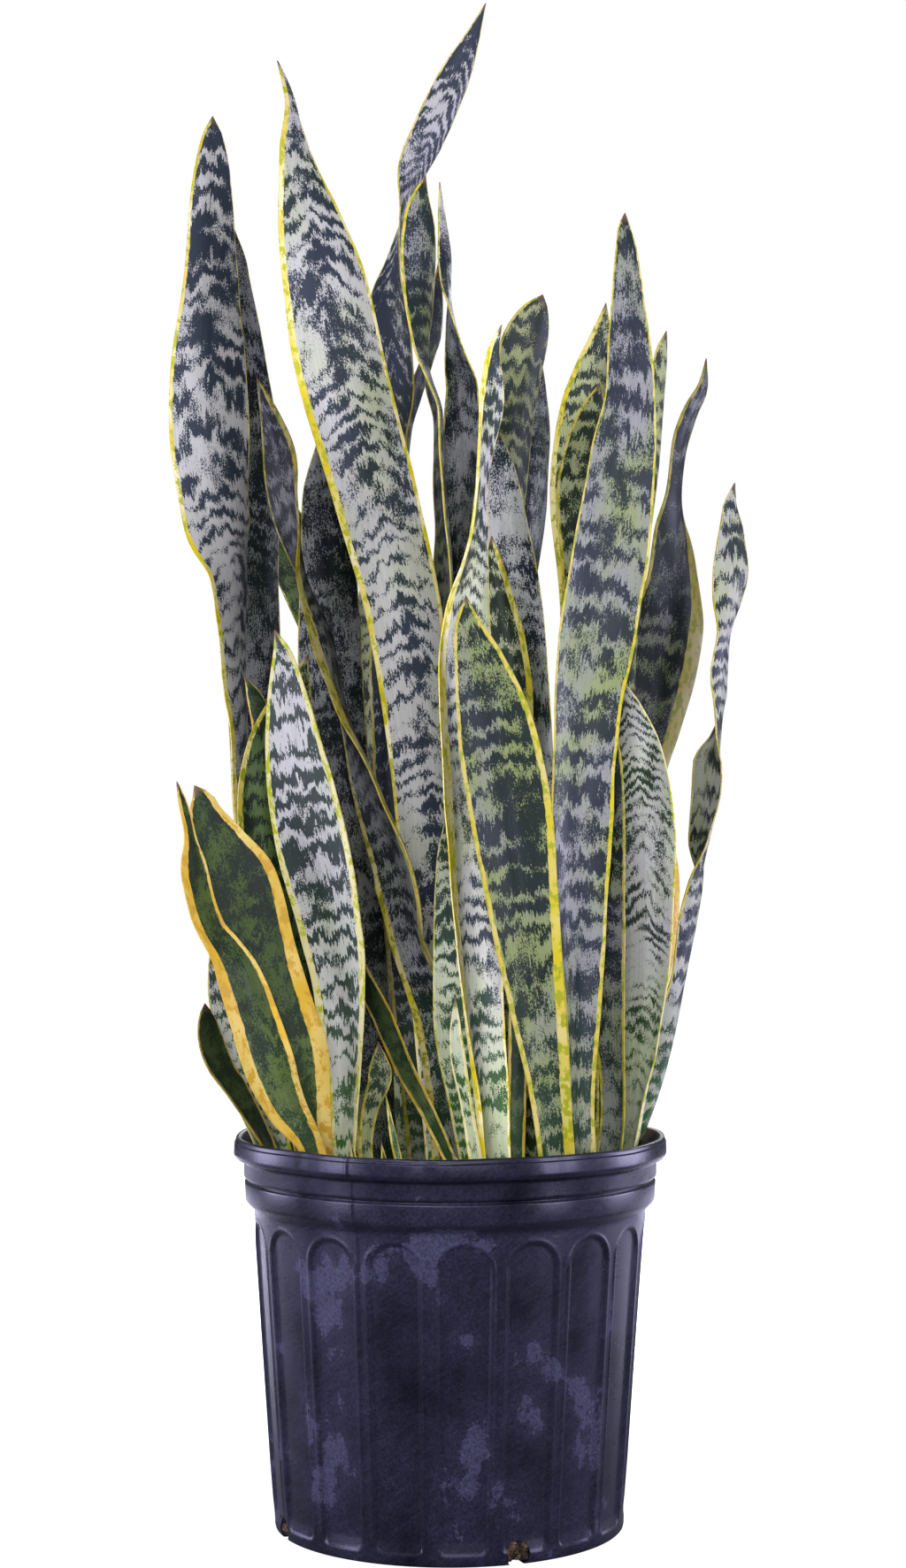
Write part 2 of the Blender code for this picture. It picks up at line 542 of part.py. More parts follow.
def blade_ring(shape, blade, at):
    """A closed section: a thick midrib, two sharp margins, and a trough between them."""
    across, out = blade.axes(at)
    half = blade.width(at) / 2
    depth = blade.cup(at) * blade.width(at) * blade.cup_side
    thickness = min(BLADE_THICKNESS * GROWTH, SLIM_BLADE_SHARE * half + THINNEST_BLADE * GROWTH)
    section = [(-1.0, 0), (-0.5, 1), (0.0, 1), (0.5, 1), (1.0, 0), (0.5, -1), (0.0, -1), (-0.5, -1)]
    middle = blade.midrib(at)
    points = []
    for side, face in section:
        lift = depth * (MIDRIB_SHARE_OF_CUP - side * side)
        lift += face * thickness / 2 * (1 - side * side)
        points.append(shape.verts.new(middle + across * side * half + out * lift))
    return points


def build_leaf(name, finish, rows):
    blade = Blade(rows)
    stations = max(FEWEST_STATIONS, round(blade.length / STATION_SPACING))
    shape = bmesh.new()
    shares = [1 - (1 - i / stations) ** TIP_CROWDING for i in range(stations)]
    rings = [blade_ring(shape, blade, blade.length * share) for share in shares]
    for point in rings[0]:
        point.co.z = LEAF_FOOT
    for lower, upper in zip(rings, rings[1:]):
        bridge(shape, lower, upper)
    shape.faces.new(reversed(rings[0]))
    close_to_point(shape, rings[-1], blade.midrib(blade.length))
    new_object(name, shape, finish)


def main():
    clear_scene()
    build_pot()
    build_soil()
    for name, (finish, rows) in LEAVES.items():
        build_leaf(name, finish, rows)


main()
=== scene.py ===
"""The looks of a snake plant in a black nursery pot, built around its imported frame.

Sizes named in the tables are millimetres, and MM turns them into metres. The frame stands on
the floor: +Z up, the origin at the middle of the pot's base, -Y towards the front.
"""

import math

import bpy
import numpy as np
from mathutils import Matrix, Vector, noise


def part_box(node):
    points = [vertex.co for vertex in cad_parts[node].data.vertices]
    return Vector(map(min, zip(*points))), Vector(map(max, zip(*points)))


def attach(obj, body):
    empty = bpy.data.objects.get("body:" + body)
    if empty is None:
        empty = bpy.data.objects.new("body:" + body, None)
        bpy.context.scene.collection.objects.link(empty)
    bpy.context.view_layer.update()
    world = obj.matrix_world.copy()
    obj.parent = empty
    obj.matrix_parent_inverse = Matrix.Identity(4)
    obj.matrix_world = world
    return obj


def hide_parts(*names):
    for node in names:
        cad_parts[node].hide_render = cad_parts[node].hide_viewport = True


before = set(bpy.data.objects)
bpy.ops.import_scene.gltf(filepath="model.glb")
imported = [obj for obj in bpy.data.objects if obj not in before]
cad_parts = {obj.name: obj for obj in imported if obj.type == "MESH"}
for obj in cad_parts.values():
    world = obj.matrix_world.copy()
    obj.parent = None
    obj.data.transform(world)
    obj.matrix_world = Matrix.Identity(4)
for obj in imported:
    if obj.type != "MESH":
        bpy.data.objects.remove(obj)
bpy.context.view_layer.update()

MM = 0.001

# ---- sizes taken from the frame ----

POT_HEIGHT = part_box("pot")[1].z / MM
SOIL_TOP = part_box("soil")[1].z / MM

# ---- leaf blades ----

# Each leaf blade, from its foot in the mix to its tip. A row is
# (height, across, depth, width, turn): the midrib's place, with its height above the rim, the
# blade's width there, and how far its face has turned about the midrib, in degrees. At 0 the
# face looks to the front, and a positive turn takes the right-hand margin backwards.
FOOT = SOIL_TOP - POT_HEIGHT
LEAVES = {
    "leaf_tall_left": ("silver", (
        (FOOT, -88, 34, 30, 55), (205, -133, 36, 34, 84), (297, -138, 32, 44, 76),
        (360, -141, 26, 52, 66), (392, -148, 22, 56, 46), (469, -155, 18, 56, 28),
        (560, -154, 18, 38, 32), (618, -154, 20, 26, 25), (646, -154, 22, 14, 22), (659, -154, 22, 0, 20))),
    "leaf_tall_left_rear": ("dusk", (
        (FOOT, -78, 74, 30, 25), (217, -127, 76, 36, 25), (352, -131, 78, 40, 30),
        (452, -132, 78, 38, 28), (514, -137, 78, 30, 28), (572, -144, 77, 19, 25),
        (597, -144, 76, 0, 25))),
    "leaf_twisted_left": ("dusk", (
        (FOOT, 6, -20, 30, -40), (71, -6, -24, 32, -38), (127, -24, -33, 36, -53),
        (160, -29, -50, 52, -60), (216, -48, -52, 52, -70), (272, -68, -46, 50, -90),
        (316, -78, -40, 48, -103), (352, -92, -36, 48, -90), (383, -99, -35, 46, -71),
        (405, -103, -35, 42, -59), (427, -106, -35, 34, -50), (449, -111, -35, 22, -47),
        (480, -121, -35, 0, -45))),
    "leaf_broad_silver": ("silver", (
        (FOOT, 2, 14, 30, 20), (82, -4, 2, 38, 18), (216, -14, -14, 42, 18),
        (328, -27, -20, 50, 18), (407, -46, -20, 56, 18), (497, -70, -20, 60, 18),
        (541, -78, -20, 56, 18), (586, -89, -20, 42, 22), (609, -94, -20, 31, 30),
        (632, -98, -20, 22, 42), (654, -100, -20, 14, 60), (670, -104, -20, 9, 62),
        (684, -109, -20, 0, 60))),
    "leaf_tallest": ("silver", (
        (FOOT, -12, 26, 26, 160), (172, -28, 32, 36, 150), (332, -36, 36, 46, 130), (447, -40, 37, 48, 126),
        (482, -37, 36, 50, 130), (516, -38, 35, 48, 130), (542, -39, 34, 44, 122), (568, -35, 32, 42, 104),
        (597, -30, 30, 40, 90), (620, -25, 30, 38, 70), (643, -15, 30, 34, 56),
        (666, -5, 30, 29, 44), (689, 5, 30, 23, 38), (712, 15, 30, 12, 40),
        (735, 24, 30, 0, 40))),
    "leaf_slim_centre": ("slate", (
        (FOOT, 6, 38, 24, 110), (82, 4, 30, 34, 110), (272, 0, 14, 42, 108), (352, -2, 6, 44, 104),
        (432, -6, 2, 40, 96), (460, -7, 0, 40, 95), (485, -14, 0, 38, 90),
        (500, -17, 0, 38, 79), (522, -18, 0, 38, 67), (545, -19, 0, 36, 56),
        (568, -19, 0, 32, 46), (590, -19, 0, 24, 45), (602, -18, 0, 14, 45),
        (615, -15, 0, 0, 45))),
    "leaf_slim_rear": ("slate", (
        (FOOT, -6, 84, 18, 50), (312, -36, 80, 24, 75), (416, -32, 78, 26, 78),
        (462, -28, 77, 26, 80), (486, -22, 76, 26, 72), (509, -14, 75, 26, 76),
        (527, -10, 74, 24, 66), (550, -8, 74, 16, 60), (574, -7, 74, 0, 60))),
    "leaf_dark_centre_left": ("dusk", (
        (FOOT, 24, 66, 30, 150), (232, 8, 64, 44, 130), (368, 9, 62, 48, 125),
        (402, 9, 60, 48, 122), (449, 10, 57, 46, 124), (484, 10, 54, 40, 120),
        (507, 5, 50, 34, 112), (539, 0, 46, 28, 90), (554, -2, 44, 24, 74),
        (577, -3, 42, 16, 60), (600, -5, 40, 8, 60), (620, -6, 40, 0, 60))),
    "leaf_centre_twisted": ("silver", (
        (FOOT, 28, -66, 26, 56), (24, 23, -68, 36, 60), (79, 18, -66, 42, 56),
        (134, 14, -64, 48, 52), (243, 9, -62, 54, 51), (292, 7, -62, 54, 52),
        (325, 9, -62, 52, 58), (358, 14, -62, 48, 70), (380, 17, -62, 44, 78),
        (402, 19, -62, 40, 80), (435, 22, -62, 34, 72), (467, 26, -62, 26, 57),
        (489, 27, -62, 14, 54), (508, 32, -62, 0, 54))),
    "leaf_banded_centre": ("olive", (
        (FOOT, 40, 30, 26, 40), (232, 36, 30, 38, 48), (377, 36, 27, 40, 50),
        (446, 41, 25, 42, 50), (504, 48, 25, 42, 44), (527, 55, 25, 28, 40),
        (537, 59, 25, 14, 40), (543, 61, 25, 0, 40))),
    "leaf_banded_centre_rear": ("dusk", (
        (FOOT, 50, 74, 26, 30), (232, 46, 72, 34, 50), (351, 49, 68, 34, 55),
        (416, 57, 66, 33, 55), (451, 58, 66, 32, 52), (480, 59, 66, 24, 52),
        (503, 62, 66, 0, 50))),
    "leaf_dark_centre": ("dusk", (
        (FOOT, 50, 2, 28, 10), (102, 48, 0, 34, 12), (216, 48, -2, 40, 15),
        (318, 41, -4, 44, 15), (358, 38, -4, 40, 15), (392, 35, -3, 31, 15),
        (426, 33, -2, 19, 15), (452, 31, 0, 0, 15))),
    "leaf_short_centre": ("olive", (
        (FOOT, 54, -26, 22, -40), (52, 46, -28, 26, -40), (216, 41, -30, 32, -42),
        (283, 39, -31, 38, -42), (316, 35, -31, 36, -45), (339, 31, -31, 28, -45),
        (361, 28, -31, 18, -45), (380, 27, -31, 0, -45))),
    "leaf_front_centre": ("slate", (
        (FOOT, 66, -84, 22, 22), (28, 61, -92, 26, 22), (82, 53, -97, 35, 20),
        (162, 42, -100, 48, 20), (215, 35, -100, 54, 20), (242, 30, -100, 52, 20),
        (269, 25, -100, 46, 20), (296, 18, -100, 33, 20), (322, 11, -100, 15, 20),
        (337, 10, -100, 0, 20))),
    "leaf_tall_right": ("slate", (
        (FOOT, 80, -46, 26, 60), (51, 79, -50, 34, 58), (95, 79, -52, 42, 54),
        (183, 79, -55, 50, 40), (260, 83, -55, 52, 36), (326, 92, -55, 58, 32),
        (381, 101, -55, 56, 32), (425, 107, -55, 50, 34), (469, 112, -55, 40, 38),
        (512, 111, -55, 31, 38), (556, 110, -55, 17, 38), (571, 109, -55, 9, 38),
        (579, 109, -55, 0, 38))),
    "leaf_right_rear": ("olive", (
        (FOOT, 74, 18, 26, 25), (202, 84, 10, 34, 25), (336, 88, 6, 36, 28),
        (410, 86, 5, 46, 26), (444, 88, 5, 44, 26), (466, 90, 5, 40, 26),
        (489, 94, 5, 30, 26), (512, 98, 5, 16, 26), (534, 101, 5, 0, 26))),
    "leaf_right_middle": ("olive", (
        (FOOT, 84, -14, 20, 20), (232, 84, -20, 24, 20), (356, 84, -22, 29, 20),
        (406, 82, -22, 31, 20), (434, 86, -22, 29, 20), (457, 91, -22, 21, 20),
        (478, 95, -22, 0, 20))),
    "leaf_slim_right": ("olive", (
        (FOOT, 98, 8, 18, 30), (152, 108, 8, 22, 50), (232, 112, 4, 24, 62), (329, 118, -4, 24, 66),
        (397, 127, -10, 24, 70), (431, 131, -10, 24, 70), (476, 134, -10, 24, 68),
        (499, 136, -10, 16, 60), (513, 139, -10, 0, 60))),
    "leaf_hooked_right": ("slate", (
        (FOOT, 98, 36, 26, 30), (188, 116, 32, 40, 25), (239, 124, 30, 46, 25),
        (262, 130, 30, 48, 24), (296, 138, 30, 52, 20), (330, 144, 30, 53, 25),
        (358, 147, 30, 48, 40), (387, 147, 30, 44, 54), (415, 148, 30, 36, 72),
        (444, 151, 30, 30, 68), (466, 158, 30, 22, 64), (484, 166, 30, 14, 60),
        (502, 168, 30, 0, 60))),
    "leaf_outer_right": ("silver", (
        (FOOT, 112, 24, 20, 62), (-7, 120, 22, 24, 66), (45, 137, 17, 28, 68),
        (102, 149, 16, 30, 70), (159, 160, 15, 32, 74), (188, 163, 15, 34, 106),
        (216, 167, 15, 34, 116), (236, 168, 15, 34, 116), (256, 173, 15, 32, 90),
        (296, 176, 15, 32, 68), (319, 178, 15, 30, 70), (342, 181, 15, 30, 52),
        (365, 183, 15, 32, 40), (382, 182, 15, 28, 42), (402, 182, 15, 15, 42),
        (419, 185, 15, 0, 42))),
    "leaf_front_right": ("white", (
        (FOOT, 110, -14, 22, -58), (25, 118, -14, 30, -56), (59, 121, -15, 38, -48),
        (126, 124, -15, 46, -36), (188, 123, -15, 48, -32), (216, 122, -15, 46, -32),
        (244, 119, -15, 38, -32), (272, 114, -15, 20, -35), (290, 110, -15, 0, -35))),
    "leaf_narrow_right": ("slate", (
        (FOOT, 100, -34, 20, -40), (21, 104, -36, 19, -40), (77, 102, -36, 22, -40),
        (132, 102, -36, 22, -40), (188, 103, -36, 19, -40), (233, 104, -36, 12, -40),
        (258, 105, -36, 0, -40))),
    "leaf_front_left": ("white", (
        (FOOT, -64, -58, 20, -50), (24, -64, -60, 28, -42), (79, -65, -62, 37, -36),
        (134, -72, -62, 46, -30), (188, -84, -62, 52, -28), (216, -90, -62, 49, -28),
        (243, -95, -62, 42, -28), (270, -99, -62, 32, -28), (303, -103, -62, 14, -28),
        (319, -108, -62, 0, -28))),
    "leaf_left_middle": ("green", (
        (FOOT, -78, -16, 24, 25), (77, -94, -26, 28, 30), (132, -105, -29, 36, 30),
        (182, -114, -30, 42, 28), (216, -116, -30, 39, 28), (249, -114, -30, 29, 28),
        (280, -112, -30, 0, 28))),
    "leaf_golden_left": ("golden", (
        (FOOT, -82, -55, 20, 22), (-1, -85, -64, 25, 22), (53, -93, -78, 38, 20),
        (107, -112, -82, 44, 20), (161, -130, -82, 51, 16), (189, -142, -82, 33, 16),
        (205, -149, -82, 21, 16), (213, -151, -82, 15, 16), (222, -156, -82, 0, 16))),
    "leaf_golden_outer": ("golden", (
        (FOOT, -80, -73, 15, 30), (1, -86, -76, 17, 28), (28, -101, -89, 28, 30),
        (55, -111, -98, 33, 24), (82, -119, -100, 31, 24), (108, -128, -102, 30, 34),
        (122, -136, -102, 28, 48), (135, -145, -102, 26, 58), (162, -153, -102, 25, 56),
        (175, -155, -102, 20, 52), (191, -157, -102, 12, 64), (213, -162, -102, 7, 50),
        (224, -165, -102, 0, 50))),
    "leaf_small_outer_left": ("golden_dark", (
        (FOOT, -106, -48, 12, 55), (0, -114, -52, 14, 60), (15, -122, -55, 18, 60),
        (32, -132, -55, 22, 58), (51, -144, -55, 22, 50), (67, -149, -55, 19, 45),
        (79, -151, -55, 12, 45), (87, -152, -55, 0, 45))),
    "leaf_pale_outer_left": ("white", (
        (FOOT, -106, -24, 18, 20), (-1, -113, -28, 23, 22), (49, -129, -32, 30, 20),
        (88, -137, -34, 30, 20), (118, -141, -35, 21, 20), (140, -145, -35, 0, 20))),
    "leaf_leaning": ("golden_dark", (
        (FOOT, 8, -52, 8, -40), (14, -10, -50, 12, -40), (50, -29, -46, 16, -40),
        (78, -41, -44, 17, -40), (111, -58, -42, 14, -40), (152, -72, -40, 0, -40))),
    "leaf_pale_centre": ("white", (
        (FOOT, 21, -45, 20, -12), (24, 13, -46, 26, -12), (79, 2, -53, 24, -14),
        (134, 1, -56, 22, -16), (176, 0, -47, 16, -12), (204, -2, -46, 0, -12))),
    "leaf_small_centre": ("white", (
        (FOOT, 20, -98, 10, -20), (28, 11, -98, 10, -45), (55, 6, -98, 12, -42),
        (76, 4, -98, 8, -42), (93, 4, -98, 0, -42))),
    "leaf_short_left_rear": ("golden_dark", (
        (FOOT, -100, 2, 18, 10), (216, -114, -4, 20, 15), (261, -119, -5, 15, 20),
        (278, -124, -5, 11, 20), (293, -131, -5, 0, 20))),
    "leaf_small_left": ("olive", (
        (FOOT, -62, -36, 16, 10), (216, -88, -42, 20, 10), (271, -93, -42, 15, 15),
        (294, -92, -42, 8, 20), (305, -88, -42, 0, 20))),
    "leaf_mottled_left": ("dusk", (
        (FOOT, -46, 24, 30, 20), (159, -62, 24, 40, 20), (239, -73, 24, 44, 18),
        (308, -77, 23, 43, 18), (360, -78, 23, 38, 20), (412, -82, 25, 28, 20),
        (451, -85, 25, 0, 20))),
    "leaf_olive_left": ("olive", (
        (FOOT, -34, 60, 26, -20), (129, -36, 66, 36, -20), (217, -39, 66, 34, -20),
        (298, -46, 64, 28, -20), (345, -53, 62, 17, -20), (368, -57, 62, 0, -20))),
    "leaf_green_rear": ("green", (
        (FOOT, -30, 92, 26, 15), (172, -38, 100, 38, 8), (282, -58, 103, 44, 5),
        (354, -90, 104, 42, 5), (407, -117, 103, 30, 5), (454, -136, 102, 0, 0))),
    "leaf_curled_left": ("olive", (
        (FOOT, -50, -66, 10, 35), (1, -52, -64, 10, 35), (23, -49, -63, 12, 30),
        (43, -43, -62, 16, 25), (64, -44, -62, 0, 20))),
    "leaf_thin_centre": ("golden_dark", (
        (FOOT, 40, -48, 12, 25), (52, 42, -48, 14, 35), (102, 43, -47, 14, 35),
        (162, 46, -46, 0, 35))),
    "leaf_thin_right": ("golden_dark", (
        (FOOT, 76, 2, 12, 15), (23, 84, 0, 14, 20), (57, 89, -1, 15, 25),
        (91, 90, -2, 12, 25), (125, 91, -2, 0, 25))),
    "leaf_hidden_right": ("golden", (
        (FOOT, 84, 57, 22, 20), (6, 95, 60, 24, 20), (52, 118, 62, 34, 20), (152, 134, 62, 42, 18),
        (202, 132, 62, 30, 18), (252, 126, 62, 0, 18))),
    "shoot_left": ("golden_dark", (
        (FOOT, -52, -98, 5, 20), (-12, -56, -98, 5, 20), (8, -60, -98, 0, 20))),
    "shoot_thin": ("green", (
        (FOOT, -24, -102, 5, 30), (0, -32, -100, 5, 30), (37, -39, -98, 0, 30))),
    "shoot_centre": ("green", (
        (FOOT, -36, -108, 6, 10), (-12, -38, -108, 5, 10), (8, -41, -108, 0, 10))),
    "shoot_yellow": ("yellow", (
        (FOOT, 10, -112, 7, 20), (-14, 8, -112, 7, 20), (2, 1, -112, 0, 20))),
}

# What each blade looks like: (left margin, right margin, climb, stripe, ripple, darkness).
# The coloured margins' widths and the ripple of the margins are in millimetres. Climb is how
# steeply the bands rise to the midrib, and stripe is how dark a line runs along the midrib. At a
# darkness of 0 the blade is half dark, and at 0.3 nearly all dark. A value in brackets runs in
# even steps from the foot to the tip.
CHARACTER = {
    "leaf_tall_left": (3.0, 1.0, 0.45, 0.10, 1.6,
                       (0.0, 0.0, -0.02, -0.08, 0.0, -0.02, -0.06, 0.0, 0.06, 0.20, 0.3)),
    "leaf_tall_left_rear": (1.0, 1.2, 0.40, 0.05, 1.0, (0.15, 0.12, 0.1)),
    "leaf_twisted_left": (3.2, (13.0, 13.0, 12.0, 10.0, 8.0, 7.0), 0.30, 0.0, 1.0,
                          (0.02, 0.02, 0.06, 0.08, 0.2, 0.3, 0.3)),
    "leaf_broad_silver": ((1.4, 1.4, 1.6, 3.6, 5.6, 5.6, 5.6), 3.4, 0.60, 0.22, 0.8,
                          (0.0, -0.03, -0.03, -0.05, -0.08, -0.12, -0.05, 0.0, 0.0, -0.03, 0.0)),
    "leaf_tallest": (1.0, 1.6, 0.80, 0.0, 0.8,
                     (0.3, 0.3, 0.3, 0.3, 0.4, 0.4, 0.42, 0.42, 0.42, 0.4, 0.1, 0.08, 0.7)),
    "leaf_slim_centre": (2.8, 2.0, 0.30, 0.0, 1.0, (0.05, 0.05, 0.12, 0.06, 0.2)),
    "leaf_slim_rear": (0.8, 1.2, 0.20, 0.0, 0.6, 0.2),
    "leaf_dark_centre_left": (1.4, 2.0, 0.40, 0.0, 0.8, (0.0, -0.02, 0.0)),
    "leaf_centre_twisted": ((14.0, 14.0, 13.0, 10.0, 8.0), 0.9, 0.30, 0.0, 1.0,
                            (-0.10, -0.08, -0.06, -0.03, 0.0, 0.02, 0.25)),
    "leaf_banded_centre": (2.6, 1.2, 0.25, 0.0, 0.8, (0.12, 0.12, 0.12, 0.12, 0.1)),
    "leaf_banded_centre_rear": (1.0, 1.3, 0.20, 0.0, 0.8, (0.12, 0.12, 0.16)),
    "leaf_dark_centre": (0.8, 0.8, 0.30, 0.0, 0.8, (0.0, -0.04, 0.0)),
    "leaf_short_centre": (1.6, 7.5, 0.20, 0.0, 0.8, (0.1, 0.1, 0.16)),
    "leaf_front_centre": (3.0, 5.0, 0.10, 0.12, 1.0, (0.04, 0.05, 0.08, 0.10, 0.14, 0.16, 0.18, 0.22)),
    "leaf_tall_right": (0.9, 2.0, 0.15, 0.08, 1.2,
                        (0.05, 0.08, 0.10, 0.08, 0.03, 0.04, 0.04, 0.0, 0.06, 0.4)),
    "leaf_right_rear": (5.0, 1.6, 0.20, 0.0, 1.2, (0.0, -0.05, -0.06, 0.0)),
    "leaf_right_middle": (2.6, 1.0, 0.25, 0.0, 0.8, (0.0, -0.02, 0.0)),
    "leaf_slim_right": (1.6, 1.4, 0.20, 0.0, 0.8, 0.05),
    "leaf_hooked_right": (3.2, 17.0, 0.12, 0.0, 1.4, (0.2, 0.22, 0.2, 0.22, 0.26, 0.26)),
    "leaf_outer_right": (1.0, 1.6, 0.30, 0.0, 2.4, (0.0, 0.04, -0.05, -0.12, -0.06, 0.02)),
    "leaf_front_right": (1.6, 1.2, 0.80, -0.05, 1.4, (-0.24, -0.24, -0.22, -0.14, -0.06)),
    "leaf_narrow_right": (1.0, 1.8, 0.10, 0.0, 0.6, (0.05, 0.1, 0.1)),
    "leaf_front_left": (4.0, 5.0, 0.06, 0.0, 1.6, (-0.12, -0.06, 0.0, 0.06, 0.0, 0.16, 0.1, 0.14)),
    "leaf_left_middle": (5.0, 2.4, 0.12, 0.0, 1.0, (0.06, 0.04, 0.04)),
    "leaf_golden_left": (2.6, 8.0, 0.10, 0.0, 2.6, (0.14, 0.10, 0.14)),
    "leaf_golden_outer": (9.0, 3.0, 0.15, 0.0, 2.2, (0.04, 0.02, 0.1)),
    "leaf_small_outer_left": (1.6, 1.2, 0.20, 0.0, 0.8, 0.14),
    "leaf_pale_outer_left": (1.0, 1.2, 0.40, 0.0, 0.8, -0.06),
    "leaf_leaning": (1.5, 1.4, 0.20, 0.0, 0.4, 0.1),
    "leaf_pale_centre": (1.0, 1.8, 0.20, 0.0, 0.8, (-0.06, 0.04, 0.1)),
    "leaf_small_centre": (1.6, 1.8, 0.20, 0.0, 0.4, (-0.16, -0.14)),
    "leaf_short_left_rear": (1.6, 1.4, 0.20, 0.0, 0.4, 0.12),
    "leaf_small_left": (1.0, 1.6, 0.20, 0.0, 0.4, 0.06),
    "leaf_mottled_left": (1.0, 1.0, 0.30, 0.0, 0.8, 0.08),
    "leaf_olive_left": (1.2, 5.5, 0.20, 0.0, 0.8, 0.06),
    "leaf_green_rear": (1.4, 1.4, 0.20, 0.0, 0.8, 0.05),
    "leaf_curled_left": (1.4, 1.4, 0.20, 0.0, 0.4, -0.1),
    "leaf_thin_centre": (1.6, 1.2, 0.10, 0.0, 0.4, 0.1),
    "leaf_thin_right": (1.6, 1.2, 0.10, 0.0, 0.4, 0.1),
    "leaf_hidden_right": (2.6, 6.0, 0.10, 0.0, 1.0, 0.0),
    "shoot_left": (1.0, 1.0, 0.10, 0.0, 0.3, 0.0),
    "shoot_thin": (0.8, 0.8, 0.10, 0.0, 0.3, 0.0),
    "shoot_centre": (0.8, 0.8, 0.10, 0.0, 0.3, 0.0),
    "shoot_yellow": (2.0, 2.0, 0.10, 0.0, 0.3, -0.2),
}

# Leaves that are greener (above 0) or greyer (below 0) than others of their kind.
GREENNESS = {
    "leaf_tall_left": -0.20, "leaf_front_centre": 0.10, "leaf_tall_right": -0.05,
    "leaf_hooked_right": -0.05, "leaf_front_left": -0.05, "leaf_tallest": -0.15,
    "leaf_outer_right": 0.05, "leaf_short_centre": 0.2,
    "leaf_pale_centre": 0.2, "leaf_small_centre": 0.3, "leaf_broad_silver": -0.06,
}

# How far apart a leaf's bands are beside others of its kind.
BAND_STRETCH = {
    "leaf_tall_right": 1.35, "leaf_front_centre": 1.15, "leaf_hooked_right": 1.3,
    "leaf_front_left": 1.5, "leaf_front_right": 0.8, "leaf_tall_left": 1.12, "leaf_tallest": 0.75,
}

# How strongly a leaf is banded beside others of its kind.
BAND_STRENGTH = {
    "leaf_front_left": 1.8, "leaf_front_right": 0.9, "leaf_twisted_left": 2.2,
    "leaf_left_middle": 1.8, "leaf_front_centre": 1.4, "leaf_outer_right": 1.2,
    "leaf_tall_right": 1.3,
}

# How bright a leaf is beside others of its kind, from its foot to its tip. The rest are at 1.
# Besides the leaf's own tone this paints light and shade: leaves in their neighbours' shadow are
# painted brighter, and leaves in shade at the rear, or parts lit strongly by a side lamp, darker.
TONE_AND_PAINTED_LIGHT = {
    "leaf_hooked_right": (0.56, 0.48), "leaf_banded_centre": 0.86, "leaf_slim_rear": 0.6,
    "leaf_twisted_left": (0.95, 0.95, 0.95, 0.7, 0.42, 0.36, 0.36), "leaf_dark_centre": 1.8,
    "leaf_dark_centre_left": 1.75, "leaf_front_right": 1.35, "leaf_centre_twisted": 1.55,
    "leaf_broad_silver": (1.25, 1.2, 1.1, 0.97), "leaf_front_left": (1.0, 0.86),
    "leaf_tall_left": (1.12, 1.04), "leaf_front_centre": 0.86,
    "leaf_narrow_right": 0.75, "leaf_tall_left_rear": 0.85, "leaf_golden_left": 0.9,
    "leaf_small_outer_left": 0.62, "leaf_curled_left": 0.6, "leaf_small_left": 0.7,
    "leaf_mottled_left": 0.75, "leaf_outer_right": 0.85,
    "leaf_tallest": (0.55, 0.55, 0.55, 0.55, 0.55, 0.6, 0.6, 0.6, 0.6, 0.75, 1.0, 1.0, 1.0),
}

# How much of the fresh green a finish shows at its leaves' feet, and what the rest show.
FOOT_GREEN = {"silver": 1.0, "white": 1.0}
LEAST_FOOT_GREEN = 0.35
# The strength of the gloss: the rear leaves are duller than the rest.
GLOSS = {"dusk": 0.12}
USUAL_GLOSS = 0.26

# A blade's thickness at its midrib and at its margins, and its depth as a share of its width.
BLADE_THICKNESS = 3.2
MARGIN_THICKNESS = 0.7
SLIM_BLADE_SHARE = 0.35
CUP_AT_BASE = 0.30
CUP_AT_MIDDLE = 0.12
CUP_AT_TIP = 0.05
MIDRIB_SHARE_OF_CUP = 0.4
MIDRIB_DIP = 0.5
MIDRIB_WIDTH = 3.0

# A margin never covers more than this share of the half blade, so the tips stay dark.
WIDEST_MARGIN_SHARE = 0.5
# Over this last share of its length a blade's margins narrow, to this share of their width.
TAPER_SHARE = 0.55
NARROWEST_MARGIN = 0.45

# Spacing of the cross bands, in millimetres.
BAND_SPACING = {
    "silver": 14.0, "slate": 15.5, "dusk": 15.0, "white": 11.0, "olive": 14.0, "green": 14.0,
    "golden": 13.0, "golden_dark": 13.0, "yellow": 13.0,
}

# The bands climb more towards the tip, are rounded over the midrib, and drift along the blade.
CLIMB_AT_FOOT = 0.25
CLIMB_GAINED = 1.3
ARCH_ROUND = 2.0
BAND_DRIFT = 14.0
DRIFT_LENGTH = 70
# The dark stripe is full on a blade with this half width. Then its own half width and unevenness.
STRIPE_FULL_AT = 20
STRIPE_WIDTH = 5
STRIPE_LENGTH = 25
# Lengths of the ripples in the left and right margins, and the half width where they are full.
RIPPLE_LENGTHS = (34, 41)
RIPPLE_FULL_AT = 12

# Cells of a blade's grid: across it, and one about every spacing along it. Part of its points'
# spacing across is drawn to the margins, where the colour changes.
CELLS_ACROSS = 22
CELL_LENGTH = 5.5
FEWEST_CELLS = 26
DRAWN_TO_MARGINS = 0.35
# How far a blade goes on into the mix, and how finely its direction is measured.
BURIED = 10.0
SLOPE_STEPS = 200


def deselect_all():
    bpy.ops.object.select_all(action="DESELECT")


def activate(piece):
    deselect_all()
    piece.select_set(True)
    bpy.context.view_layer.objects.active = piece


def apply_modifier(piece, kind, **settings):
    """Adds a modifier with these settings and applies it."""
    activate(piece)
    modifier = piece.modifiers.new(kind.lower(), kind)
    for key, value in settings.items():
        setattr(modifier, key, value)
    bpy.ops.object.modifier_apply(modifier=modifier.name)


def points_of(piece):
    """The piece's points as rows of x, y, z, in metres."""
    flat = np.empty(len(piece.data.vertices) * 3)
    piece.data.vertices.foreach_get("co", flat)
    return flat.reshape(-1, 3)


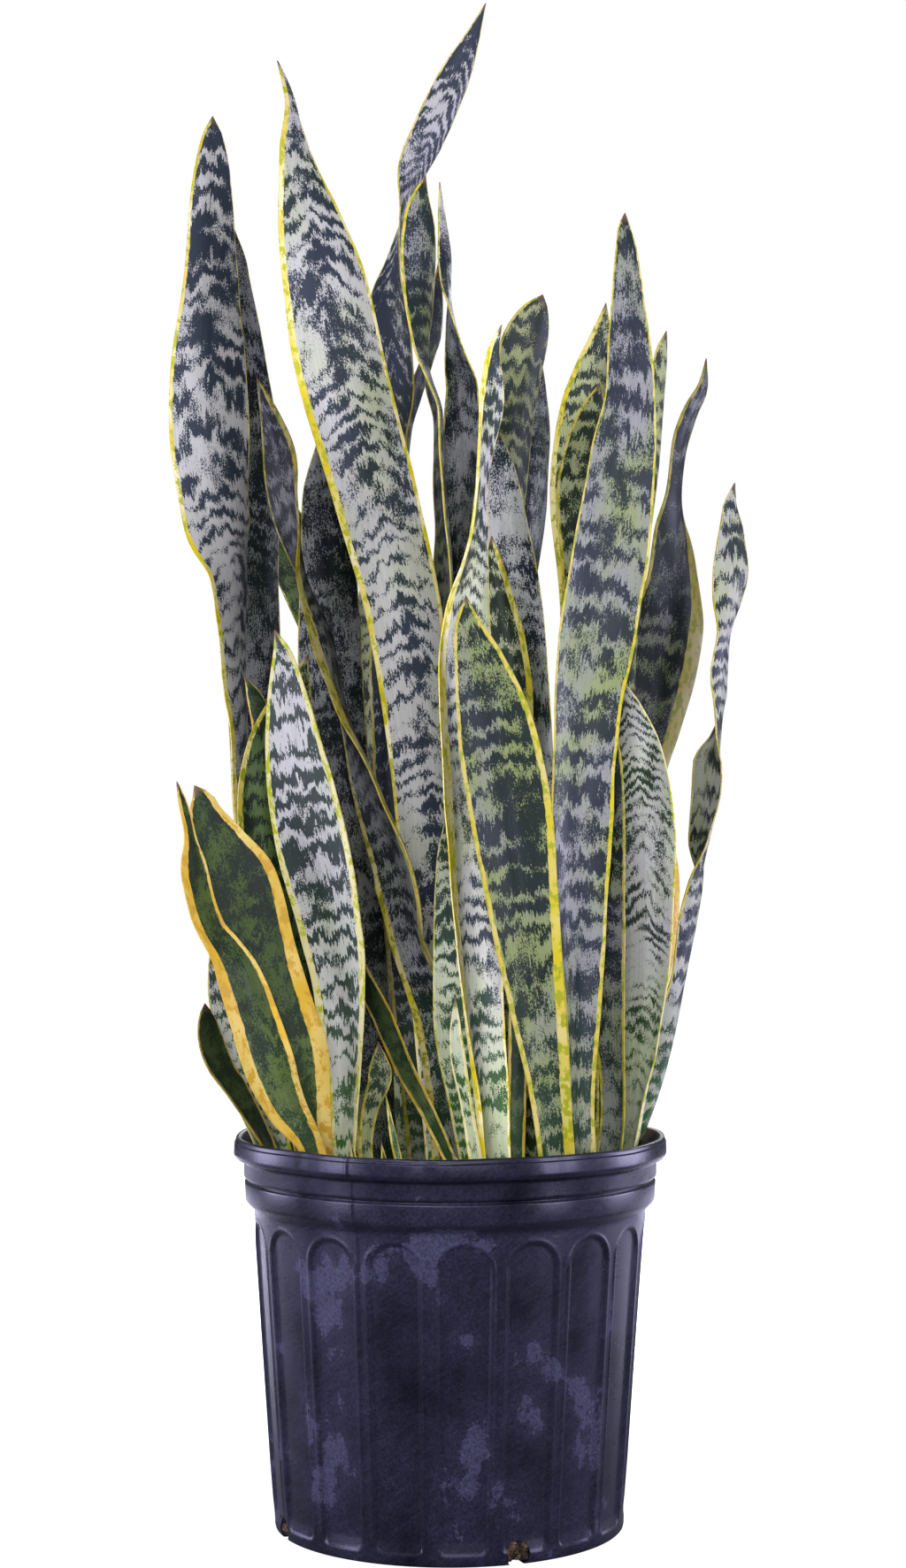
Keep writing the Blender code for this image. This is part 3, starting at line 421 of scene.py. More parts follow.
def place_points(piece, points):
    piece.data.vertices.foreach_set("co", np.ascontiguousarray(points, np.float32).ravel())
    piece.data.update()


def note_on_points(piece, name, values):
    """Keeps one number for each point, for the material to read."""
    note = piece.data.attributes.new(name, "FLOAT", "POINT")
    note.data.foreach_set("value", np.ascontiguousarray(values, np.float32))


def smooth_values(knots, values, at):
    """Values at these distances, on the smooth curve through the knots that never overshoots."""
    knots = np.asarray(knots, float)
    values = np.asarray(values, float)
    gaps = np.diff(knots)
    rises = np.diff(values) / gaps
    slopes = np.zeros(len(knots))
    slopes[0] = rises[0]
    slopes[-1] = rises[-1]
    for i in range(1, len(rises)):
        left, right = rises[i - 1], rises[i]
        if left * right > 0:
            heavy_left = 2 * gaps[i] + gaps[i - 1]
            heavy_right = gaps[i] + 2 * gaps[i - 1]
            slopes[i] = (heavy_left + heavy_right) / (heavy_left / left + heavy_right / right)
    i = np.clip(np.searchsorted(knots, at) - 1, 0, len(gaps) - 1)
    t = (at - knots[i]) / gaps[i]
    return (
        (1 + 2 * t) * (1 - t) ** 2 * values[i]
        + t * (1 - t) ** 2 * gaps[i] * slopes[i]
        + t * t * (3 - 2 * t) * values[i + 1]
        - t * t * (1 - t) * gaps[i] * slopes[i + 1])


def wander(values, seed):
    """A smooth random line between about -1 and 1, read at each of the values."""
    return np.array([noise.noise(Vector((value, seed * 7.3, seed))) for value in values]) * 1.6


class Blade:
    """The smooth midrib, width and turn of one leaf, in millimetres."""

    def __init__(self, rows):
        self.places = np.array([(across, depth, POT_HEIGHT + height)
                                for height, across, depth, _, _ in rows], float)
        # The foot goes on into the mix, the way the blade leaves it.
        down = self.places[0] - self.places[1]
        self.places[0] += down / np.linalg.norm(down) * BURIED
        self.widths = [row[3] for row in rows]
        self.turns = [row[4] for row in rows]
        steps = np.linalg.norm(np.diff(self.places, axis=0), axis=1)
        self.knots = np.concatenate([[0.0], np.cumsum(steps)])
        self.length = self.knots[-1]
        # The cupped side looks to the middle of the plant.
        self.cup_side = 1.0 if self.places[0][1] < 0 else -1.0

    def midrib(self, at):
        columns = [smooth_values(self.knots, self.places[:, axis], at) for axis in range(3)]
        return np.stack(columns, axis=1)

    def width(self, at):
        return np.maximum(0.0, smooth_values(self.knots, self.widths, at))

    def axes(self, at):
        """Directions across the blade and out of its face, at each distance from the foot."""
        step = self.length / SLOPE_STEPS
        low = self.midrib(np.maximum(0.0, at - step))
        along = self.midrib(np.minimum(self.length, at + step)) - low
        along /= np.linalg.norm(along, axis=1)[:, None]
        across = np.cross((0, -1, 0), along)
        across /= np.linalg.norm(across, axis=1)[:, None]
        turn = np.radians(smooth_values(self.knots, self.turns, at))[:, None]
        across = across * np.cos(turn) + np.cross(along, across) * np.sin(turn)
        return across, np.cross(across, along)

    def cup(self, at):
        halves = 2 * at / self.length
        lower = CUP_AT_BASE + (CUP_AT_MIDDLE - CUP_AT_BASE) * halves
        upper = CUP_AT_MIDDLE + (CUP_AT_TIP - CUP_AT_MIDDLE) * (halves - 1)
        return np.where(halves < 1, lower, upper)


def from_foot_to_tip(steps, share):
    """A value that is the same all along, or even steps from the foot (share 0) to the tip (1)."""
    steps = np.atleast_1d(steps)
    return np.interp(share, np.linspace(0, 1, len(steps)), steps)


def grow_leaf(name, finish, rows, seed):
    """A flat grid laid along the midrib, cupped, rippled at its margins and given its flesh."""
    left_margin, right_margin, climb, stripe, ripple, darkness = CHARACTER[name]
    blade = Blade(rows)
    cells = max(FEWEST_CELLS, round(blade.length / CELL_LENGTH))
    deselect_all()
    bpy.ops.mesh.primitive_grid_add(x_subdivisions=CELLS_ACROSS, y_subdivisions=cells, size=2)
    leaf = bpy.context.object
    leaf.name = "blade_" + name.removeprefix("leaf_")
    flat = points_of(leaf)
    side = flat[:, 0]
    share = (flat[:, 1] + 1) / 2
    at = blade.length * share
    half = blade.width(at) / 2
    across, out = blade.axes(at)
    side = np.sin(side * math.pi / 2) * DRAWN_TO_MARGINS + side * (1 - DRAWN_TO_MARGINS)
    depth = blade.cup(at) * 2 * half * blade.cup_side
    lift = depth * (MIDRIB_SHARE_OF_CUP - side * side)
    lift -= blade.cup_side * MIDRIB_DIP * np.exp(-(side * half / MIDRIB_WIDTH) ** 2)
    swell = np.minimum(1.0, half / RIPPLE_FULL_AT)
    edge_line = wander(at / RIPPLE_LENGTHS[0], seed) * (side < 0)
    edge_line += wander(at / RIPPLE_LENGTHS[1], seed + 50) * (side > 0)
    lift += ripple * swell * np.abs(side) ** 3 * edge_line
    reach = side * half
    points = blade.midrib(at) + across * reach[:, None] + out * lift[:, None]
    place_points(leaf, points * MM)

    # Notes for the leaf's material: distances in millimetres on the blade itself.
    left_here = from_foot_to_tip(left_margin, share)
    right_here = from_foot_to_tip(right_margin, share)
    taper = NARROWEST_MARGIN + (1 - NARROWEST_MARGIN) * np.clip((1 - share) / TAPER_SHARE, 0, 1)
    to_left = (1 - side) * half - np.minimum(left_here * taper, WIDEST_MARGIN_SHARE * half)
    to_right = (1 + side) * half - np.minimum(right_here * taper, WIDEST_MARGIN_SHARE * half)
    note_on_points(leaf, "from_margin", np.minimum(to_left, to_right))
    note_on_points(leaf, "from_edge", (1 - np.abs(side)) * half)
    note_on_points(leaf, "across", reach)
    note_on_points(leaf, "along", at)
    climb_here = climb * (CLIMB_AT_FOOT + CLIMB_GAINED * share)
    arch = climb_here * np.sqrt(reach * reach + ARCH_ROUND ** 2)
    drift = BAND_DRIFT * wander(at / DRIFT_LENGTH, seed + 20)
    spacing = BAND_SPACING[finish] * BAND_STRETCH.get(name, 1.0)
    note_on_points(leaf, "band", (at + arch + drift) / spacing)
    dark_here = from_foot_to_tip(darkness, share)
    stripe_here = stripe * np.clip(half / STRIPE_FULL_AT, 0, 1) ** 2
    unevenness = 1.0 + wander(at / STRIPE_LENGTH, seed + 70)
    dark_here += stripe_here * np.exp(-(reach / STRIPE_WIDTH) ** 2) * unevenness
    note_on_points(leaf, "darkness", dark_here)
    note_on_points(leaf, "strength", np.full(len(at), BAND_STRENGTH.get(name, 1.0)))
    note_on_points(leaf, "greenness", np.full(len(at), GREENNESS.get(name, 0.0)))
    # The leaf's brightness: its own tone together with painted light and shade.
    note_on_points(leaf, "shade", from_foot_to_tip(TONE_AND_PAINTED_LIGHT.get(name, 1.0), share))
    note_on_points(leaf, "from_tip", blade.length * (1 - share))
    note_on_points(leaf, "seed", np.full(len(at), seed * 3.7))

    flesh = leaf.vertex_groups.new(name="flesh")
    thickest = np.minimum(BLADE_THICKNESS, SLIM_BLADE_SHARE * half + MARGIN_THICKNESS)
    plump = MARGIN_THICKNESS + (thickest - MARGIN_THICKNESS) * (1 - side * side)
    for index, weight in enumerate(plump / BLADE_THICKNESS):
        flesh.add([index], float(weight), "REPLACE")
    # The last row meets in the tip's point.
    activate(leaf)
    bpy.ops.object.mode_set(mode="EDIT")
    bpy.ops.mesh.select_all(action="SELECT")
    bpy.ops.mesh.remove_doubles(threshold=0.02 * MM)
    bpy.ops.object.mode_set(mode="OBJECT")
    apply_modifier(
        leaf, "SOLIDIFY", thickness=BLADE_THICKNESS * MM, offset=0.0, vertex_group="flesh",
        use_quality_normals=True)
    leaf.vertex_groups.clear()
    activate(leaf)
    bpy.ops.object.mode_set(mode="EDIT")
    bpy.ops.mesh.select_all(action="SELECT")
    bpy.ops.mesh.normals_make_consistent(inside=False)
    bpy.ops.object.mode_set(mode="OBJECT")
    bpy.ops.object.shade_smooth_by_angle(angle=math.radians(55))
    leaf.data.materials.append(LEAF_MATERIALS[finish])
    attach(leaf, "root")
    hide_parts(name)


# ---- materials ----

def linear(hex_colour):
    """An sRGB hex colour as the linear colour that a shader takes."""
    parts = [int(hex_colour[i:i + 2], 16) / 255 for i in (1, 3, 5)]
    return (*[p / 12.92 if p <= 0.04045 else ((p + 0.055) / 1.055) ** 2.4 for p in parts], 1.0)


def add(tree, kind, sockets=None, **settings):
    """Adds a node with its settings, sets or links its inputs, and gives its first output."""
    made = tree.nodes.new("ShaderNode" + kind)
    for key, value in settings.items():
        setattr(made, key, value)
    for key, value in (sockets or {}).items():
        if isinstance(value, bpy.types.NodeSocket):
            tree.links.new(value, made.inputs[key])
        else:
            made.inputs[key].default_value = value
    return next(output for output in made.outputs if output.enabled)


def drawn_noise(tree, place, stretch, detail, **sockets):
    """Noise drawn out of shape: the stretch is how many of its marks fit in a unit each way."""
    drawn = add(tree, "VectorMath", {0: place, 1: stretch}, operation="MULTIPLY")
    return add(tree, "TexNoise", {"Vector": drawn, "Scale": 1.0, "Detail": detail, **sockets})


def new_material(name):
    """An empty material with a Principled shader, and its tree."""
    material = bpy.data.materials.new(name)
    material.use_nodes = True
    tree = material.node_tree
    return material, tree, tree.nodes["Principled BSDF"]


# Colours of each kind of leaf: two pale greens, two dark greens, the margin's two yellows, and
# the blotches on it. Then how strong its bands are, how long the ragged combs on a band's edge
# are in millimetres, and how speckled it is.
LEAF_FINISHES = {
    "silver": (("#b6b5b8", "#b0b69d"), ("#2e3644", "#26332d"), ("#d6c01e", "#eae0b4"), "#b2b114",
               0.36, 3.6, 2.0),
    "slate": (("#949599", "#8d9965"), ("#272f3b", "#1b2a23"), ("#d6c326", "#dfd084"), "#a8ae20",
              0.34, 4.0, 2.6),
    "dusk": (("#94959a", "#787e76"), ("#20232c", "#1b2622"), ("#c3b12c", "#cfc58c"), "#87891c",
             0.24, 6.0, 2.6),
    "white": (("#b9b8be", "#b2b9a6"), ("#323c3c", "#253a2c"), ("#dcd6a6", "#d2c98a"), "#a9b01c",
              0.40, 3.2, 2.1),
    "olive": (("#9da572", "#abb190"), ("#303a37", "#212d1f"), ("#d1bd22", "#dcd290"), "#979a1c",
              0.36, 3.6, 2.0),
    "green": (("#5f7446", "#4d6238"), ("#212f26", "#1c2a1a"), ("#c3b02c", "#d4c97c"), "#8b911c",
              0.24, 4.0, 2.2),
    "golden": (("#50662f", "#3a4b27"), ("#212928", "#1f2e1b"), ("#dab035", "#e2cb78"), "#cb9f36",
               0.15, 3.0, 2.6),
    "golden_dark": (("#3d5030", "#314427"), ("#222c28", "#1c2a1a"), ("#c9a43a", "#d4c67c"), "#b09a34",
                    0.20, 3.0, 2.2),
    "yellow": (("#cdb145", "#bb9c38"), ("#ac862e", "#9c7828"), ("#d6b64c", "#e0c97a"), "#ab812c",
               0.20, 3.0, 1.2),
}

# Shared colours: fresh green flecks and their pale ground at the feet, and dried edges and tips.
FRESH_FLECKS = "#3f6a2a"
FRESH_GROUND = "#adbd80"
DRY_EDGE = "#a88a3c"
DRY_TIP = "#6e5a45"


def leaf_material(finish):
    """Snake plant leaf: a thick waxy cuticle over banded flesh. It is grown, so its bands have
    combed edges that follow the veins, and its gloss is soft and broken by the veins."""
    pale, dark, margin, blotch, banding, comb, speckle = LEAF_FINISHES[finish]
    material, tree, shader = new_material("snake_plant_leaf_" + finish)
    notes = ("across", "along", "band", "from_tip", "seed", "darkness", "from_margin", "from_edge",
             "strength", "greenness", "shade")
    (across, along, band, from_tip, seed, darkness, from_margin, from_edge, strength, greenness,
     shade) = [add(tree, "Attribute", attribute_name=note).node.outputs["Fac"] for note in notes]
    place = add(tree, "CombineXYZ", {"X": across, "Y": along, "Z": seed})

    # Combs about 1.2 mm wide and 8 mm long push the bands' edges up and down the leaf.
    comb_noise = drawn_noise(tree, place, (0.8, 0.11, 1.0), 2.0, Roughness=0.6)
    comb_push = add(tree, "Math", {0: comb_noise, 1: 0.5}, operation="SUBTRACT")
    push_mm = add(tree, "Math", {0: comb_push, 1: comb * 4.0}, operation="MULTIPLY")
    # Slower waves, about 7 mm across, make the zigzag of a band.
    wave_noise = drawn_noise(tree, place, (0.15, 0.05, 1.0), 1.0)
    wave = add(tree, "Math", {0: wave_noise, 1: 0.5}, operation="SUBTRACT")
    push_mm = add(tree, "Math", {0: wave, 1: 18.0, 2: push_mm}, operation="MULTIPLY_ADD")
    # The even beat of the bands.
    band = add(tree, "Math", {0: push_mm, 1: 1 / BAND_SPACING[finish], 2: band},
               operation="MULTIPLY_ADD")
    turns = add(tree, "Math", {0: band, 1: 2 * math.pi}, operation="MULTIPLY")
    beat = add(tree, "Math", {0: turns}, operation="SINE")

    # Patches about 40 mm long and 15 mm wide, smaller ones of 12 by 6 mm, and specks of 1 mm.
    shifted = add(tree, "Math", {0: along, 1: push_mm}, operation="ADD")
    patch_place = add(tree, "CombineXYZ", {"X": across, "Y": shifted, "Z": seed})
    patch = drawn_noise(tree, patch_place, (0.055, 0.032, 1.3), 0.0)
    small = drawn_noise(tree, patch_place, (0.11, 0.10, 2.1), 1.0)
    speck = drawn_noise(tree, place, (1.6, 0.75, 3.0), 2.0, Roughness=0.75)
    # The bands come and go along the leaf.
    swell = drawn_noise(tree, patch_place, (0.035, 0.022, 4.1), 1.0)
    swell = add(tree, "MapRange", {"Value": swell, "From Min": 0.32, "From Max": 0.62,
                                   "To Min": 0.35 * banding, "To Max": 1.15 * banding})
    swell = add(tree, "Math", {0: swell, 1: strength}, operation="MULTIPLY")
    total = add(tree, "Math", {0: beat, 1: swell, 2: darkness}, operation="MULTIPLY_ADD")
    for spots, weight in ((patch, 1.2), (small, 1.1), (speck, speckle)):
        total = add(tree, "Math", {0: spots, 1: weight, 2: total}, operation="MULTIPLY_ADD")
        total = add(tree, "Math", {0: total, 1: weight / 2}, operation="SUBTRACT")
    is_dark = add(tree, "MapRange", {"Value": total, "From Min": -0.06, "From Max": 0.06},
                  interpolation_type="SMOOTHSTEP")

    # Slow changes of tone along the leaf, about every 60 mm.
    tone = drawn_noise(tree, place, (0.03, 0.016, 1.7), 3.0)
    tone = add(tree, "Math", {0: tone, 1: greenness}, operation="ADD")
    tone = add(tree, "MapRange", {"Value": tone, "From Min": 0.38, "From Max": 0.66})
    pale_tone = add(tree, "Mix", {0: tone, 6: linear(pale[0]), 7: linear(pale[1])}, data_type="RGBA")
    dark_tone = add(tree, "Mix", {0: tone, 6: linear(dark[0]), 7: linear(dark[1])},
                    data_type="RGBA")
    # Near the foot the dark flecks turn a fresh green.
    foot = add(tree, "MapRange", {"Value": along, "From Min": 150.0, "From Max": 30.0})
    freshness = FOOT_GREEN.get(finish, LEAST_FOOT_GREEN)
    foot_dark = add(tree, "Math", {0: foot, 1: 0.75 * freshness}, operation="MULTIPLY")
    dark_tone = add(tree, "Mix", {0: foot_dark, 6: dark_tone, 7: linear(FRESH_FLECKS)},
                    data_type="RGBA")
    foot_pale = add(tree, "Math", {0: foot, 1: 0.5 * freshness}, operation="MULTIPLY")
    pale_tone = add(tree, "Mix", {0: foot_pale, 6: pale_tone, 7: linear(FRESH_GROUND)},
                    data_type="RGBA")
    flesh = add(tree, "Mix", {0: is_dark, 6: pale_tone, 7: dark_tone}, data_type="RGBA")

    # Veins: fine lines about 0.9 mm apart that run the whole length.
    vein = drawn_noise(tree, place, (1.1, 0.008, 1.0), 2.0)
    vein_shade = add(tree, "MapRange", {"Value": vein, "From Min": 0.3, "From Max": 0.7,
                                        "To Min": 0.90, "To Max": 1.08})
    flesh = add(tree, "VectorMath", {0: flesh, "Scale": vein_shade}, operation="SCALE")

    # The margin: yellow fading to cream, with blotches, and an uneven inner line.
    wobble = add(tree, "Math", {0: comb_noise, 1: -2.4, 2: 1.2}, operation="MULTIPLY_ADD")
    inner = add(tree, "Math", {0: from_margin, 1: wobble}, operation="ADD")
    on_margin = add(tree, "MapRange", {"Value": inner, "From Min": 0.25, "From Max": -0.15})
    fade = drawn_noise(tree, place, (0.05, 0.03, 1.9), 2.0)
    fade = add(tree, "MapRange", {"Value": fade, "From Min": 0.35, "From Max": 0.65})
    margin_tone = add(tree, "Mix", {0: fade, 6: linear(margin[0]), 7: linear(margin[1])},
                      data_type="RGBA")
    blotch_noise = drawn_noise(tree, place, (0.22, 0.12, 2.7), 3.0, Roughness=0.7)
    is_blotch = add(tree, "MapRange", {"Value": blotch_noise, "From Min": 0.50, "From Max": 0.57})
    margin_tone = add(tree, "Mix", {0: is_blotch, 6: margin_tone, 7: linear(blotch)}, data_type="RGBA")
    skin = add(tree, "Mix", {0: on_margin, 6: flesh, 7: margin_tone}, data_type="RGBA")
    # The dry rim of the margin is a thin brown line.
    on_rim = add(tree, "MapRange", {"Value": from_edge, "From Min": 0.45, "From Max": 0.15,
                                    "To Max": 0.25})
    skin = add(tree, "Mix", {0: on_rim, 6: skin, 7: linear(DRY_EDGE)}, data_type="RGBA")
    # The very tip has dried.
    dry = add(tree, "MapRange", {"Value": from_tip, "From Min": 7.0, "From Max": 2.0})
    skin = add(tree, "Mix", {0: dry, 6: skin, 7: linear(DRY_TIP)}, data_type="RGBA")
    # Scaled by the leaf's brightness note, which paints light and shade as well as its tone.
    skin = add(tree, "VectorMath", {0: skin, "Scale": shade}, operation="SCALE")
    tree.links.new(skin, shader.inputs["Base Color"])

    gloss = add(tree, "MapRange", {"Value": speck, "From Min": 0.3, "From Max": 0.7,
                                   "To Min": 0.36, "To Max": 0.52})
    tree.links.new(gloss, shader.inputs["Roughness"])
    height = add(tree, "Math", {0: speck, 1: 0.35, 2: vein}, operation="MULTIPLY_ADD")
    bump = add(tree, "Bump", {"Height": height, "Strength": 0.35, "Distance": 0.25 * MM})
    tree.links.new(bump, shader.inputs["Normal"])
    shader.inputs["IOR"].default_value = 1.45
    shader.inputs["Specular Tint"].default_value = (0.86, 0.86, 1.0, 1.0)
    shader.inputs["Specular IOR Level"].default_value = GLOSS.get(finish, USUAL_GLOSS)
    return material


LEAF_MATERIALS = {finish: leaf_material(finish) for finish in LEAF_FINISHES}


# ---- pot ----

# The pot's outline repeats the pot in the frame, with its corners rounded.
RIM_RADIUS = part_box("pot")[1].x / MM
LIP_WIDTH = 5.0
LIP_HEIGHT = 12.0
NECK_STEP = 6.5
NECK_HEIGHT = 14.0
GROOVE_DEPTH = 2.0
GROOVE_HEIGHT = 1.5
RING_STEP = 7.0
RING_HEIGHT = 13.0
SHOULDER_STEP = 13.0
SHOULDER_DROP = 5.0
BASE_RADIUS = 111.0
BASE_ROUND = 2.5
WALL = 2.0
FLOOR_THICKNESS = 3.0
PANELS = 18
PANEL_TURN = 4.3
UPRIGHT_ANGLE = 4.0
PANEL_DEPTH = 1.8
PANEL_SLOPE = 2.2
PANEL_BOTTOM = 6.0
PANEL_TOP = 196.0
PANEL_FOOT_ROUND = 6.0
PANEL_FADE = 9.0
BEAD_HEIGHT = 0.7
BEAD_WIDTH = 1.1
DRAIN_HOLES = 4
DRAIN_HOLE_RADIUS = 8.0
DRAIN_HOLE_HEIGHT = 6.5
DRAIN_HOLE_TURN = 22.0
DRAIN_HOLE_ANGLES = [
    math.radians(-90.0 + DRAIN_HOLE_TURN + index * 360.0 / DRAIN_HOLES) for index in range(DRAIN_HOLES)]
CUTTER_LENGTH = 24.0
POT_SEGMENTS = 792
# A point closer to the pot's axis than this stays on it.
ON_AXIS = 0.001
# The line where the mould's halves met, which shows above a height.
SEAM_ANGLE = -116.6
SEAM_HEIGHT = 0.5
SEAM_WIDTH = 0.7
SEAM_FROM = 150.0
# Where the upper wall and the rim start to be out of true, and over what height that grows.
LOOSE_WALL_FROM, LOOSE_WALL_RISE = 120, 128
LOOSE_RIM_FROM, LOOSE_RIM_RISE = 215, 33
# Slow waves around the pot: (millimetres, how many, start).
WALL_WAVES = ((0.5, 3, 0.7), (0.35, 7, 2.1))
RIM_WAVES = ((0.35, 5, 1.0), (0.18, 13, 0.4))
# Dents in the rim: (angle and width in degrees, depth).
RIM_DENTS = ((-96.5, 2.2, 1.2), (-62.0, 3.0, 0.7), (-128.0, 2.6, 0.6))


def rounded(corners):
    """The outline with each corner (radius, height, round) turned into a short arc."""
    line = [np.array(corners[0][:2], float)]
    for before, here, after in zip(corners, corners[1:], corners[2:]):
        corner = np.array(here[:2], float)
        back = np.array(before[:2], float) - corner
        ahead = np.array(after[:2], float) - corner
        reach = min(here[2], 0.45 * np.linalg.norm(back), 0.45 * np.linalg.norm(ahead))
        if reach < 0.05:
            line.append(corner)
            continue
        start = corner + back / np.linalg.norm(back) * reach
        end = corner + ahead / np.linalg.norm(ahead) * reach
        for t in (0.0, 0.33, 0.67, 1.0):
            line.append((1 - t) ** 2 * start + 2 * t * (1 - t) * corner + t * t * end)
    line.append(np.array(corners[-1][:2], float))
    return line


def body_radius(height):
    """Outer radius of the tapered body at a height."""
    shoulder = ring_bottom() - SHOULDER_DROP
    share = (height - BASE_ROUND) / (shoulder - BASE_ROUND)
    return BASE_RADIUS + share * (RIM_RADIUS - SHOULDER_STEP - BASE_RADIUS)


def inner_radius(height):
    """Inner radius of the body at a height, behind the pressed panels."""
    return body_radius(height) - PANEL_DEPTH - WALL


def ring_top():
    return POT_HEIGHT - LIP_HEIGHT - NECK_HEIGHT - GROOVE_HEIGHT


def ring_bottom():
    return ring_top() - RING_HEIGHT


def pot_outline():
    """(radius, height) from the middle of the base, up the outside, over the lip and down inside."""
    neck = RIM_RADIUS - NECK_STEP
    ring = RIM_RADIUS - RING_STEP
    lip_bottom = POT_HEIGHT - LIP_HEIGHT
    shoulder = ring_bottom() - SHOULDER_DROP
    inside = neck - GROOVE_DEPTH - WALL
    foot = PANEL_BOTTOM - 1
    low = rounded([(0, 0, 0), (BASE_RADIUS, 0, BASE_ROUND), (body_radius(foot), foot, 0)])
    heights = list(np.arange(PANEL_BOTTOM, PANEL_BOTTOM + 10, 1.0))
    heights += list(np.linspace(PANEL_BOTTOM + 12, PANEL_TOP - 20, 8))
    heights += list(np.arange(PANEL_TOP - 19, PANEL_TOP + 2.5, 0.9))
    body = [np.array((body_radius(h), h)) for h in heights]
    high = rounded([
        (body_radius(PANEL_TOP + 3), PANEL_TOP + 3, 0),
        (RIM_RADIUS - SHOULDER_STEP, shoulder, 3.0),
        (ring - 0.6, ring_bottom(), 1.6),
        (ring, ring_top() - 1, 0.8),
        (ring - 0.8, ring_top(), 0.5),
        (neck - GROOVE_DEPTH, ring_top() + GROOVE_HEIGHT / 2, 0.4),
        (neck, ring_top() + GROOVE_HEIGHT + 1, 1.0),
        (neck, lip_bottom - 3.2, 1.0),
        (RIM_RADIUS - 1.6, lip_bottom - 1.2, 0.9),
        (RIM_RADIUS, lip_bottom + 1, 1.2),
        (RIM_RADIUS - 0.3, POT_HEIGHT - 3.4, 0.6),
        (RIM_RADIUS - 1.1, POT_HEIGHT - 2.8, 0.5),
        (RIM_RADIUS - 1.3, POT_HEIGHT, 1.2),
        (RIM_RADIUS - LIP_WIDTH, POT_HEIGHT, 1.4),
        (inside + 1.6, lip_bottom - 1, 2.5),
        (inside, lip_bottom - 5, 1.5),
        (inside, ring_bottom() + WALL, 1.5),
        (inner_radius(shoulder - 3), shoulder - 3, 3.0),
        (inner_radius(FLOOR_THICKNESS), FLOOR_THICKNESS, 2.0),
        (0, FLOOR_THICKNESS, 0)])
    return low + body + high


def spin_outline(name, outline, segments):
    """Draws the outline by extruding one point, and spins it once about the Z axis."""
    deselect_all()
    bpy.ops.mesh.primitive_plane_add(size=1)
    turned = bpy.context.object
    turned.name = name
    bpy.ops.object.mode_set(mode="EDIT")
    bpy.ops.mesh.select_all(action="SELECT")
    bpy.ops.mesh.merge(type="CENTER")
    start = outline[0]
    bpy.ops.transform.translate(value=(start[0] * MM, 0, start[1] * MM))
    for here, after in zip(outline, outline[1:]):
        step = ((after[0] - here[0]) * MM, 0, (after[1] - here[1]) * MM)
        bpy.ops.mesh.extrude_region_move(TRANSFORM_OT_translate={"value": step})
    bpy.ops.mesh.select_all(action="SELECT")
    bpy.ops.mesh.spin(steps=segments, angle=2 * math.pi, center=(0, 0, 0), axis=(0, 0, 1))
    bpy.ops.mesh.select_all(action="SELECT")
    bpy.ops.mesh.remove_doubles(threshold=0.01 * MM)
    bpy.ops.mesh.normals_make_consistent(inside=False)
    bpy.ops.object.mode_set(mode="OBJECT")
    return turned


def panel_press(angle, height):
    """How far the wall is pressed in (or out, along a panel's bead) at these places."""
    pitch = 360.0 / PANELS
    from_middle = (np.degrees(angle) + 90.0 - PANEL_TURN + pitch / 2) % pitch - pitch / 2
    aside = np.abs(from_middle) / 360.0 * 2 * math.pi * body_radius(PANEL_TOP / 2)
    half = (pitch - UPRIGHT_ANGLE) / 2 / 360.0 * 2 * math.pi * body_radius(PANEL_TOP / 2)
    spring = PANEL_TOP - half
    arch = half - np.hypot(aside, np.maximum(0, height - spring))
    # The foot's corners are rounded.
    corner = PANEL_FOOT_ROUND
    foot = height - PANEL_BOTTOM
    at_corner = (aside > half - corner) & (foot < corner)
    in_corner = corner - np.hypot(aside - (half - corner), foot - corner)
    inward = np.where(at_corner, in_corner, np.minimum(arch, foot))
    t = np.clip(inward / PANEL_SLOPE, 0, 1)
    pressed = PANEL_DEPTH * t * t * (3 - 2 * t)
    # The press fades out towards the foot, and the bead towards the foot and the arch's top.
    pressed *= np.clip(foot / PANEL_FADE, 0, 1) ** 0.7
    top = np.clip((height - spring) / half, 0, 1)
    bead = BEAD_HEIGHT * np.exp(-((inward + 0.6) / BEAD_WIDTH) ** 2)
    return pressed - bead * (1 - 0.75 * top) * np.clip((foot - 4) / 14, 0, 1)


def wave_around(angle, waves):
    return sum(size * np.sin(number * angle + start) for size, number, start in waves)


